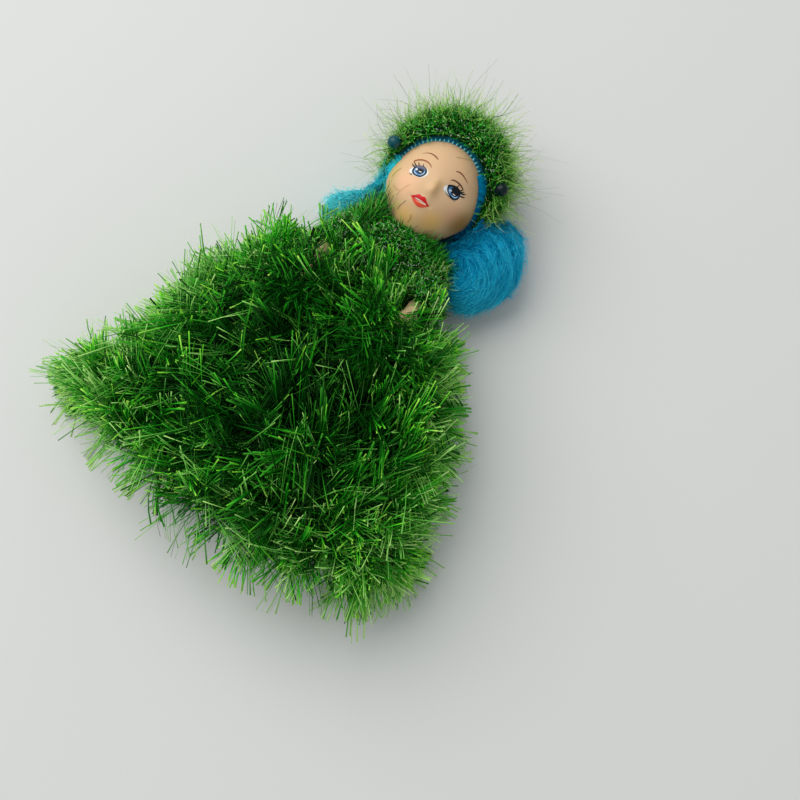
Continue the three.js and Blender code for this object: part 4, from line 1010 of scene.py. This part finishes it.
def neck_ruff(name, count, reach, half_width, paint):
    """Tinsel that stands up round the neck and over the shoulders, as high as the chin and the hair."""
    turn = TAU * rng.random(count)
    front = rng.random(count) < NECK_FRONT_SHARE
    turn = np.where(front, math.pi * rng.random(count), turn)
    roots = np.stack([1 + (9.5 + 5.5 * rng.random(count)) * np.cos(turn),
                      33.5 + rng.normal(0, 1.6, count) - 1.5 * np.abs(np.cos(turn)),
                      BODY_Z - 2 + 6.5 * np.abs(np.sin(turn))], -1)
    roots = off_head(roots, 0.4)
    way = unit(np.array([0, 0.9, 0.25]) + roots * [0.035, 0, 0] + rng.normal(0, 0.5, (count, 3)))
    length = reach * (0.5 + 0.8 * rng.random((count, 1)))
    return ruff(name, roots, way, length, 0.25, half_width, paint, 5)


def shoulder_ruff(name, count, half_width, paint):
    """Tinsel that rises from the right shoulder over the loose hair, as far as the cheek."""
    across = rng.random(count)
    roots = np.stack([-8.5 - 7.5 * across, 33.0 - 6 * across + rng.normal(0, 1.2, count),
                      20.5 - 3.5 * across + rng.normal(0, 0.8, count)], -1)
    way = unit(np.array([-0.12, 0.98, 0.05]) + rng.normal(0, 0.25, (count, 3)))
    length = (9.0 - 4.5 * across[:, None]) * (0.35 + 0.65 * rng.random((count, 1)))
    return ruff(name, roots, way, length, 0.22, half_width, paint, 6)


on_bodice = {"ground": bodice, "body": "torso", "keep": outside_body, "lean": 0.8}
bodice_pieces = [
    shoulder_ruff("shoulder_ruff", 2200, 0.075, TINSEL),
    shoulder_ruff("shoulder_ruff_pale", 260, 0.06, LIME),
    lay_flakes("bodice_tinsel", 9900, 1.5, 0.09, TINSEL, steps=4, curl=0.5, **on_bodice),
    lay_flakes("bodice_tinsel_pale", 350, 1.0, 0.08, LIME, lift=1.0, **on_bodice),
    lay_flakes("bodice_sparkle", 850, 0.45, 0.09, PAINTED_SPARKLE, lift=1.2, **on_bodice),
    fringe("bodice_fringe", 700, 3.5, 0.06, LIME, bodice, "torso", outside_body,
           lambda points: unit(points - np.array([0, 25, BODY_Z]))),
    neck_ruff("neck_ruff", 7500, 3.6, 0.07, TINSEL),
    neck_ruff("neck_sparkle", 300, 1.2, 0.05, PAINTED_SPARKLE),
]

ARM_RAISE_DEG = 35
ARM_RAISE = math.radians(ARM_RAISE_DEG)
ARM_ALONG = np.array([0, -math.cos(ARM_RAISE), math.sin(ARM_RAISE)])
for label in SIDES.values():
    arm_body = f"{label}_arm"
    sleeve = remeshed(f"sleeve_knit_{label}", [node_points(f"sleeve_{label}")], 0.4, 3)
    roughen(sleeve, 0.2, 2.4, 0.3)
    dress(sleeve, KNIT, arm_body, "tinsel_knit", f"sleeve_{label}")
    middle = points_of(sleeve).mean(0)

    def outside_sleeve(points, normals, middle=middle):
        away = points - middle
        away -= (away @ ARM_ALONG)[:, None] * ARM_ALONG
        return (normals * unit(away)).sum(1) > 0.2

    on_sleeve = {"ground": sleeve, "body": arm_body, "keep": outside_sleeve}
    sleeve_pieces = [
        lay_flakes(f"sleeve_tinsel_{label}", 5000, 1.7, 0.08, TINSEL, lean=0.9, **on_sleeve),
        lay_flakes(f"sleeve_sparkle_{label}", 500, 0.42, 0.08, PAINTED_SPARKLE, lean=0.8, lift=1.2, **on_sleeve),
        fringe(f"sleeve_fringe_{label}", 500, 4.5, 0.07, LIME, sleeve, arm_body, outside_sleeve,
               lambda points, middle=middle: unit(points - middle)),
    ]

# Arms and legs

ARM_LENGTH = 30
LEG_LENGTH = 38.5
LEG_DROP_DEG = -7
LIMB_SKIN = skin_material("limb_vinyl", ((0.60, 0.44, 0.24), (0.66, 0.48, 0.27)))

# Stations of a limb: share of its length, how far outward, half width and half depth
ARM_STATIONS = np.array([
    [-0.13, 2.9, 1.2, 1.6], [-0.1, 2.9, 2.2, 2.9], [0, 3, 2.5, 3.9], [0.13, 3.7, 2.8, 3.4],
    [0.3, 4.6, 2.7, 2.9], [0.46, 5, 2.4, 2.6], [0.62, 4.6, 2.4, 2.5], [0.76, 3.9, 1.9, 1.9],
    [0.86, 3.4, 1.9, 2.7], [0.95, 2.9, 1.5, 2.3], [1, 2.6, 0.8, 1.3]])
LEG_STATIONS = np.array([
    [-0.14, 3, 1.8, 2.6], [-0.11, 3, 2.8, 4.6], [0, 3.2, 3.1, 5.9], [0.15, 2.3, 3.8, 5.3],
    [0.35, 1.8, 3.9, 4.6], [0.52, 1.6, 3.3, 3.8], [0.68, 1.6, 3.3, 3.9], [0.86, 1.5, 2.4, 2.7],
    [0.95, 1.5, 2.5, 2.9], [1, 1.5, 1.6, 2]])


def ball(centre, half, rows=14, columns=20, turn_x=0.0):
    tilt = np.linspace(-math.pi / 2, math.pi / 2, rows)[:, None]
    turn = around(columns)[None, :]
    p = [np.cos(tilt) * np.cos(turn), np.cos(tilt) * np.sin(turn), np.sin(tilt) * np.ones_like(turn)]
    p = turn_about_x(np.stack(p, -1).reshape(-1, 3) * half, turn_x)
    return p + centre, grid_quads(rows, columns).tolist()


def disc_along_x(x0, x1, radius, columns=48):
    turn = around(columns)
    ring = np.stack([np.zeros(columns), radius * np.cos(turn), radius * np.sin(turn)], -1)
    rings = [ring * size + [x, 0, 0] for x, size in ((x0, 0), (x0, 1), (x1, 1), (x1, 0))]
    return np.concatenate(rings), grid_quads(4, columns).tolist()


def limb(stations, seat, length, side_sign, columns=32, rows=60):
    smooth = catmull(stations, rows)
    turn = around(columns)
    rings = [np.stack([side_sign * (seat + out) + width * np.cos(turn), np.full(columns, -share * length),
                       depth * np.sin(turn)], -1) for share, out, width, depth in smooth]
    rings = [rings[0] * 0 + rings[0].mean(0)] + rings + [rings[-1] * 0 + rings[-1].mean(0)]
    return np.concatenate(rings), grid_quads(rows + 2, columns).tolist()


def build_limb(name, voxel, side_sign, parts, discs, centre_y, degrees):
    """Joins the parts and the discs of a limb's peg, turned about the joint's axis."""
    parts = parts + [disc_along_x(side_sign * x0, side_sign * x1, radius) for x0, x1, radius in discs]
    joint = np.array([0, centre_y, BODY_Z])
    placed = [(turn_about_x(p, math.radians(-degrees)) + joint, faces) for p, faces in parts]
    return remeshed(name, placed, voxel, 4)


for side_sign, label in SIDES.items():
    parts = [limb(ARM_STATIONS, SHOULDER_SEAT_X, ARM_LENGTH, side_sign),
             ball([side_sign * 13.0, -24.9, 2.5], [0.9, 2.1, 1.1], turn_x=-0.5)]
    for z, reach in ((-1.55, 28.6), (-0.5, 29.5), (0.55, 29.3), (1.5, 28.4)):
        parts.append(ball([side_sign * 12.75, -reach + 1.6, z * 0.82], [0.72, 2.2, 0.52]))
    arm = build_limb(f"arm_skin_{label}", 0.24, side_sign, parts,
                     ((10.3, 12.8, 4.2), (7.9, 10.6, 2.0), (7.5, 8.3, 2.6)), SHOULDER_Y, ARM_RAISE_DEG)
    dress(arm, LIMB_SKIN, f"{label}_arm", "skin", f"arm_{label}")

    foot_x = side_sign * (HIP_SEAT_X + 1.6)
    parts = [limb(LEG_STATIONS, HIP_SEAT_X, LEG_LENGTH, side_sign),
             ball([foot_x, -LEG_LENGTH, 2.5], [2.7, 2.7, 5.5])]
    for toe in range(-2, 3):
        parts.append(ball([foot_x + side_sign * toe * 0.8, -38.9, 7.3 - 0.22 * abs(toe + 1)],
                          [0.62 - 0.05 * (toe + 2) * 0.8 + 0.12, 0.95, 0.85]))
    leg = build_limb(f"leg_skin_{label}", 0.3, side_sign, parts,
                     ((4.9, 7.5, 6.0), (2.5, 5.2, 2.3), (2.1, 2.9, 3.2)), 0.0, LEG_DROP_DEG)
    dress(leg, LIMB_SKIN, f"{label}_leg", "skin", f"leg_{label}")

for node in ("torso_front", "torso_back"):
    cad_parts[node].data.materials.clear()
    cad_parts[node].data.materials.append(LIMB_SKIN)

# Pins with balls

PIN_BALL_RADIUS = 1.85
ROLL_RADIUS = 2.8


def pin_paint(name, color, roughness, specular):
    made = material(name, color, roughness, Specular_IOR_Level=specular)
    nodes = Nodes(made)
    base = tuple(nodes.shader.inputs["Base Color"].default_value)[:3]
    cloud = nodes.noise(nodes.object_point(), 700.0, 2.0)
    nodes.color(nodes.mix(cloud, tuple(0.7 * c for c in base), tuple(1.4 * c for c in base)))
    return made


# Each pin's label, side, place round the hairline, outward, rise and paint
PINS = [
    ("left", 1, 30.8, 2.5, 0.63, pin_paint("pin_ball_dark", (0.0005, 0.009, 0.010), 0.2, 0.25)),
    ("right", -1, 15.2, 0.9, 1.38, pin_paint("pin_ball_teal", (0.001, 0.07, 0.085), 0.25, 0.3)),
]
for label, side_sign, turn_deg, outward, rise, paint in PINS:
    angle = math.radians(turn_deg)
    angle = angle if side_sign > 0 else math.pi - angle
    centre = hairline_point(angle, 3.6) - HAIRLINE_NORMAL * 2
    centre = centre + along_hairline(angle) * outward + HAIRLINE_NORMAL * (ROLL_RADIUS + rise)
    points, faces = ball(np.zeros(3), [PIN_BALL_RADIUS] * 3, 32, 48)
    points = points * (1 + 0.012 * np.sin(3 * points[:, :1]))
    pin_ball = make_mesh(f"pin_ball_{label}", on_head(points + centre), np.array(faces))
    dress(pin_ball, paint, "head", "pin_ball", f"cap_pin_{label}")
    axis = unit(HAIRLINE_NORMAL + np.array([side_sign * math.tan(math.radians(30)), 0, 0]))
    a = unit(np.cross(axis, [0, 1, 0]))
    b = np.cross(axis, a)
    turn = around(16)[:, None]
    rings = [centre + axis * along + radius * (np.cos(turn) * a + np.sin(turn) * b)
             for along, radius in ((-1.2, 0.0), (-1.2, 0.35), (-7.2, 0.35), (-8.0, 0.02), (-8.0, 0.0))]
    shank = make_mesh(f"pin_shank_{label}", on_head(np.concatenate(rings)), grid_quads(5, 16))
    dress(shank, STEEL, "head", "pin_ball")

# Skirt: knit ground and shaggy pile

WAIST_Y = 19.0
HEM_Y = -56.0
HEM_RADIUS = 70.0
HEM_ARC_Y = HEM_Y + HEM_RADIUS
WIDEST_Z = 9.0
WAIST_HALF = 12.6
HEM_HALF = 46.5
WAIST_TOP = 22.8
HEM_TOP = 22
BELL_RISE = 5
WAIST_BOTTOM = 4.4
SETTLED_FROM = 8


def bell_size(y, grow=0.0):
    """Half width, top and bottom of the skirt's bell at a place along the doll."""
    t = np.maximum(0, (WAIST_Y - y) / (WAIST_Y - HEM_Y))
    settled = np.minimum(1, (WAIST_Y - y) / (WAIST_Y - SETTLED_FROM))
    half = WAIST_HALF + (HEM_HALF - WAIST_HALF) * t ** 0.55 + grow
    top = WAIST_TOP + (HEM_TOP - WAIST_TOP) * t * t + BELL_RISE * np.sin(math.pi * t) + grow
    return half, top, WAIST_BOTTOM * (1 - settled) - grow


def hem_at(x):
    return HEM_ARC_Y - np.sqrt(HEM_RADIUS ** 2 - x ** 2)


def bell_point(y, angle, grow=0.0):
    half, top, bottom = bell_size(y, grow)
    rise = np.sin(angle)
    flattened = np.minimum(1, 1.25 * np.abs(rise) ** 0.7)
    z = np.where(rise > 0, WIDEST_Z + (top - WIDEST_Z) * rise, WIDEST_Z - (WIDEST_Z - bottom) * flattened)
    return np.stack(np.broadcast_arrays(half * np.cos(angle), y, z), -1)


def bell_rows(from_y, rows, columns, grow):
    """A grid from from_y down to the curved hem."""
    angle = around(columns)[None, :]
    share = np.linspace(0, 1, rows)[:, None] ** 1.2
    y = np.full((rows, columns), from_y)
    # The hem's place depends on the width there and the width on the place, so a few rounds settle both
    for _ in range(6):
        x = bell_size(y, grow)[0] * np.cos(angle)
        y = from_y + (hem_at(x) - from_y) * share
    angle = angle * np.ones_like(y)
    return bell_point(y, angle, grow), y, angle


# The knit ground: outer and inner face, stitches on the inner one, and a ring round the waist
SKIRT_ROWS, SKIRT_COLUMNS = 110, 360
OUTER_FROM, INNER_FROM = 18.85, 13.0
STITCH_ROW = 2.3
STITCHES_ROUND = 84
outer_rows, _, _ = bell_rows(OUTER_FROM, SKIRT_ROWS, SKIRT_COLUMNS, -0.05)
inner_rows, inner_y, inner_angle = bell_rows(INNER_FROM, SKIRT_ROWS, SKIRT_COLUMNS, -1.85)
stitch_rows = (INNER_FROM - inner_y) / STITCH_ROW
stitch_columns = inner_angle / TAU * STITCHES_ROUND + 0.5 * (np.floor(stitch_rows) % 2)
relief = 0.32 * np.abs(np.sin(math.pi * stitch_rows)) ** 0.6 * (0.55 + 0.45 * np.cos(TAU * stitch_columns))
inward = np.stack([-np.cos(inner_angle), np.zeros_like(inner_angle), -np.sin(inner_angle)], -1)
inner_rows = above(inner_rows + inward * relief[..., None], 1.2)
column = np.arange(SKIRT_COLUMNS)
angle = around(SKIRT_COLUMNS)
waist_rings = [np.stack([w * np.cos(angle), np.full(SKIRT_COLUMNS, y), BODY_Z + d * np.sin(angle)], -1)
               for y, w, d in ((INNER_FROM, 9.4, 7.4), (18.6, 9.9, 7.7), (OUTER_FROM, 10.2, 7.9))]
shell = np.concatenate([outer_rows, inner_rows[::-1], np.stack(waist_rings)])
last = (len(shell) - 1) * SKIRT_COLUMNS
after = (column + 1) % SKIRT_COLUMNS
close = np.stack([last + column, last + after, after, column], -1)
skirt_quads = np.concatenate([grid_quads(len(shell), SKIRT_COLUMNS), close])
skirt = make_mesh("skirt_ground", shell.reshape(-1, 3), skirt_quads)
dress(skirt, SKIRT_KNIT, "torso", "skirt_yarn", "skirt_knit")

# The outline of the pile as seen from above, x and y
PILE_OUTLINE = np.array([
    (-30, 27.5), (-38.9, 15.5), (-43.4, -2.3), (-44.7, -19.3), (-49, -36.4), (-59.5, -47.2), (-52.7, -56.2),
    (-36.6, -61.8), (-19.6, -66.6), (3.1, -70.6), (18.7, -69.5), (35, -64.9), (46.1, -62.1), (53.4, -49.2),
    (56.4, -34.2), (53, -16.7), (45.3, 1.6), (32.4, 17.1), (20.8, 26.8), (0, 29)])
PILE_CENTRE = np.array([0, -20])
outline_way = PILE_OUTLINE - PILE_CENTRE
outline_angle = np.arctan2(outline_way[:, 1], outline_way[:, 0])
order = np.argsort(outline_angle)
outline_angle, outline_reach = outline_angle[order], np.linalg.norm(outline_way, axis=1)[order]


def reach_at(points):
    way = points[..., :2] - PILE_CENTRE
    return np.interp(np.arctan2(way[..., 1], way[..., 0]), outline_angle, outline_reach, period=TAU)


def field(points, scale, seed):
    """A smooth value from -1 to 1 that changes from place to place."""
    k = scale * np.array([[1.0, 0.4, 0.7], [-0.6, 1.1, 0.3], [0.5, -0.8, 0.9]])
    return sum(np.sin(points @ row + seed * (j + 1)) for j, row in enumerate(k)) / 3


ARM_X = 14.0
ARM_CLEARANCE = 3.3
COVERED_FROM = 17.0
BODICE_EDGE = 25.0
BODICE_HALF = 17

# How far fibres may reach past the pile's outline, as a share of it
FULLEST_TRIM = 1.09
INNER_TRIM = 1.03

# Where skin shows through the pile: a place on the forearm and a radius
SKIN_GAPS = [(np.array([13.0, 17.6, 24.0]), 2.4), (np.array([-15.6, 17.6, 24.0]), 0.7)]


def off_arms(paths):
    """Pushes fibres out of both arms."""
    for side_sign in (1, -1):
        away = paths - np.array([side_sign * ARM_X, SHOULDER_Y, BODY_Z])
        along = np.clip(away @ ARM_ALONG, 0, COVERED_FROM)[..., None]
        off = away - along * ARM_ALONG
        distance = np.linalg.norm(off, axis=-1, keepdims=True)
        push = unit(unit(off) + [0, 0, 1.3]) * 1.4 * (ARM_CLEARANCE - distance)
        paths = np.where(distance < ARM_CLEARANCE, paths + push, paths)
    return paths


def over_skin(paths):
    """Which fibres would cross a line of sight from above to a patch of skin."""
    hides = np.zeros(len(paths), bool)
    for place, radius in SKIN_GAPS:
        sight = unit(np.array(CAMERA_AT) - place)
        away = paths - place
        off = away - (away @ sight)[..., None] * sight
        hides |= ((np.linalg.norm(off, axis=-1) < radius) & (away @ sight > -1)).any(1)
    return hides


def bell_normal(point):
    half, top, bottom = bell_size(point[:, 1])
    over = point[:, 2] - WIDEST_Z
    depth = np.where(over > 0, top - WIDEST_Z, 2.2 * (WIDEST_Z - bottom))
    return unit(np.stack([point[:, 0] / half ** 2, np.zeros(len(point)), over / depth ** 2], -1))


def edge_share(points):
    """How far out a place lies: 0 at the pile's centre, 1 at its outline."""
    return np.linalg.norm(points[:, :2] - PILE_CENTRE, axis=1) / reach_at(points)


def lay_pile(name, paths, half_width, shape, paint, tones):
    """The fibres of the pile that leave both arms and the patches of skin free."""
    paths = off_arms(paths)
    keep = ~over_skin(paths)
    width = half_width * (0.7 + 0.6 * rng.random((len(paths), 1))) * np.array(shape)
    return strands(name, paths[keep], width[keep], paint, "torso", "skirt_pile", 0.16, tones[keep])


def pile(name, clumps, per_clump, sector, reach, half_width, shape, spread, bright, ordered=0.35, paint=GRASS,
         from_edge=0.0, ragged=0.34):
    """Clumps of flat fibres with flared tips over one part of the skirt."""
    y = WAIST_Y - (WAIST_Y - HEM_Y) * rng.random(clumps * 4) ** 0.8
    angle = sector[0] + (sector[1] - sector[0]) * rng.random(clumps * 4)
    root = bell_point(y, angle)
    inner = (edge_share(root) < from_edge) | ((root[:, 1] > 8) & (from_edge > 0))
    root = root[np.argsort(inner, kind="stable")[:clumps]]
    root[:, 1] = np.maximum(root[:, 1], hem_at(root[:, 0]) + 0.8 * rng.random(clumps))
    normal = bell_normal(root)
    outward = np.zeros((clumps, 3))
    outward[:, :2] = unit(root[:, :2] - PILE_CENTRE)
    edge = np.clip(edge_share(root) * 1.25, 0, 1)[:, None] ** 2

    # The way of each clump, its length, its bend and its tone
    heading = np.where(rng.random(clumps) < ordered, 2.6 * field(root, 0.11, 2.0), TAU * rng.random(clumps))
    across = unit(np.cross(normal, [0, 1, 0.05]))
    swirl = across * np.cos(heading)[:, None] + np.cross(normal, across) * np.sin(heading)[:, None]
    lift = 0.12 + 0.65 * rng.random((clumps, 1))
    way = unit(normal * lift + swirl * (1.05 - 0.6 * edge) + outward * (0.1 + 1.05 * edge))
    # Some clumps near the waist turn back towards the hem
    rising = (root[:, 1] > 4) & (way[:, 1] > 0) & (np.abs(root[:, 0]) < 20) & (rng.random(clumps) < 0.45)
    way[:, 1] = np.where(rising, -0.4 * way[:, 1], way[:, 1])
    way = unit(way)
    length = reach[0] + (reach[1] - reach[0]) * rng.random((clumps, 1)) + 2.0 * edge
    bend = swirl * 0.26 + rng.normal(0, 0.27, (clumps, 3)) + np.array([0, 0, -0.18])
    # Over half of the clumps close towards their tips, and the others open
    gather = np.where(rng.random(clumps) < 0.55, 0.75, -0.6)
    # Clumps are lighter towards the pile's outline and darker in its middle: painted light where light shines
    # through the thin edge, painted shade in the deep middle
    tone = VARIANTS * np.clip(bright + 0.66 * edge[:, 0] + rng.normal(0, 0.16, clumps), 0, 0.99)
    trim = FULLEST_TRIM if from_edge else INNER_TRIM
    trim = trim - ragged * rng.random(clumps) ** 0.8 + 0.05 * field(root, 0.8, 1.0)

    # The fibres of the clumps
    count = clumps * per_clump
    own = np.repeat(np.arange(clumps), per_clump)
    s = shares(len(shape))
    offset = rng.normal(0, spread, (count, 1, 3))
    up = normal[own][:, None]
    offset = offset - (offset * up).sum(-1, keepdims=True) * up * 0.8
    way = unit(way[own] + rng.normal(0, 0.09, (count, 3)))[:, None]
    length = (length[own] * (0.74 + 0.32 * rng.random((count, 1))))[:, None]
    bend = (bend[own] + rng.normal(0, 0.07, (count, 3)))[:, None]
    wave = rng.normal(0, 0.45, (count, 1, 3)) * np.sin(math.pi * s)
    paths = root[own][:, None] + offset * (1 - gather[own][:, None, None] * s) + way * length * s
    paths = paths + bend * length * s ** 2 + wave
    start = paths[:, :1]
    tip = paths[:, -1]
    allowed = reach_at(tip) * np.minimum(trim[own], FULLEST_TRIM)
    over = np.linalg.norm(tip[:, :2] - PILE_CENTRE, axis=1) / allowed
    shrink = np.where(over > 1, 1 / over ** 3, 1.0)[:, None, None]
    paths = start + (paths - start) * np.maximum(shrink, 0.45)
    ahead = (paths[..., 1] > BODICE_EDGE) & (np.abs(paths[..., 0]) < BODICE_HALF)
    paths[..., 1] = np.where(ahead, BODICE_EDGE + 0.4 * (paths[..., 1] - BODICE_EDGE), paths[..., 1])
    paths = above(paths, 0.3 + 0.8 * rng.random((count, 1)) * s[..., 0])
    # Stray fibres too are lighter towards the outline: painted light
    stray = VARIANTS * rng.random(count) ** (1.6 - 0.8 * edge[own, 0])
    tones = np.where(rng.random(count) < 0.75, tone[own] + rng.normal(0, 4, count), stray)
    return lay_pile(name, paths, half_width, shape, paint, tones)


FLARED = [0.55, 0.7, 0.8, 0.9, 1.15, 1.6]
FINE = [0.7, 1.0, 1.0, 0.8]
SECTORS_DEG = {"top_left": (18, 90), "top_right": (90, 162), "side_left": (-42, 18), "side_right": (162, 222)}
LAYERS = [
    ("", 330, 12, (13, 17.5), 0.14, FLARED, 0.75, 0.20),
    ("_upper", 200, 10, (12, 17), 0.12, FLARED, 0.6, 0.30),
    ("_under", 750, 6, (4.5, 8), 0.10, FINE, 0.8, 0.16, 0.1),
    ("_ribbons", 420, 2, (11, 16.5), 0.10, FLARED, 0.5, 0.40, 0.35, GLINT),
    ("_tips", 190, 6, (13.5, 19), 0.11, FLARED, 0.8, 0.26, 0.2, GLINT, 0.55, 0.16),
]
for label, sector_deg in SECTORS_DEG.items():
    many = 1.0 if label.startswith("top") else 0.6
    sector = tuple(math.radians(angle) for angle in sector_deg)
    for ending, clumps, per_clump, *look in LAYERS:
        layer = pile(f"pile_{label}{ending}", int(clumps * many), per_clump, sector, *look)
        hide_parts(f"skirt_pile_{label}")


HAND_X, HAND_Y, HAND_COVER = 13.8, 3.5, 6.5


def cover_hand(side_sign, count):
    """Fibres of the pile that close over a hand that lies in it."""
    turn = TAU * rng.random(count)
    off = HAND_COVER * np.sqrt(rng.random(count))
    x, y = side_sign * HAND_X + off * np.cos(turn), HAND_Y + off * np.sin(turn)
    half, top, _ = bell_size(y)
    z = WIDEST_Z + (top - WIDEST_Z) * np.sqrt(np.maximum(1 - (x / half) ** 2, 0.05))
    root = np.stack([x, y, z], -1)
    heading = TAU * rng.random(count)
    lean = np.stack([np.cos(heading), np.sin(heading), np.zeros(count)], -1)
    lean = lean * (5 + 4 * rng.random((count, 1)))
    s = shares(6)
    rise = (9 + 4 * rng.random((count, 1, 1))) * np.array([0, 0, 1])
    paths = root[:, None] + lean[:, None] * s ** 1.3 + rise * np.sin(s * 2.2)
    tones = VARIANTS * (0.25 + 0.35 * rng.random(count))
    return lay_pile(f"pile_over_hand_{SIDES[side_sign]}", paths, 0.12, FLARED, GRASS, tones)


for side_sign, label in SIDES.items():
    layer = cover_hand(side_sign, 700)
    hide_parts(f"skirt_pile_top_{label}")

# Floor

FLOOR_HALF = 1.5
floor_mesh = bpy.data.meshes.new("floor")
corners = [(x * FLOOR_HALF, y * FLOOR_HALF, 0) for x, y in ((-1, -1), (1, -1), (1, 1), (-1, 1))]
floor_mesh.from_pydata(corners, [], [(0, 1, 2, 3)])
FLOOR = material("floor_paper", (0.70, 0.715, 0.70), 0.7)
nodes = Nodes(FLOOR)
cloud = nodes.noise(nodes.object_point(), 6.0)
nodes.color(nodes.mix(cloud, (0.69, 0.705, 0.69), (0.71, 0.725, 0.71)))
floor_mesh.materials.append(FLOOR)
floor = add_object("floor", floor_mesh)
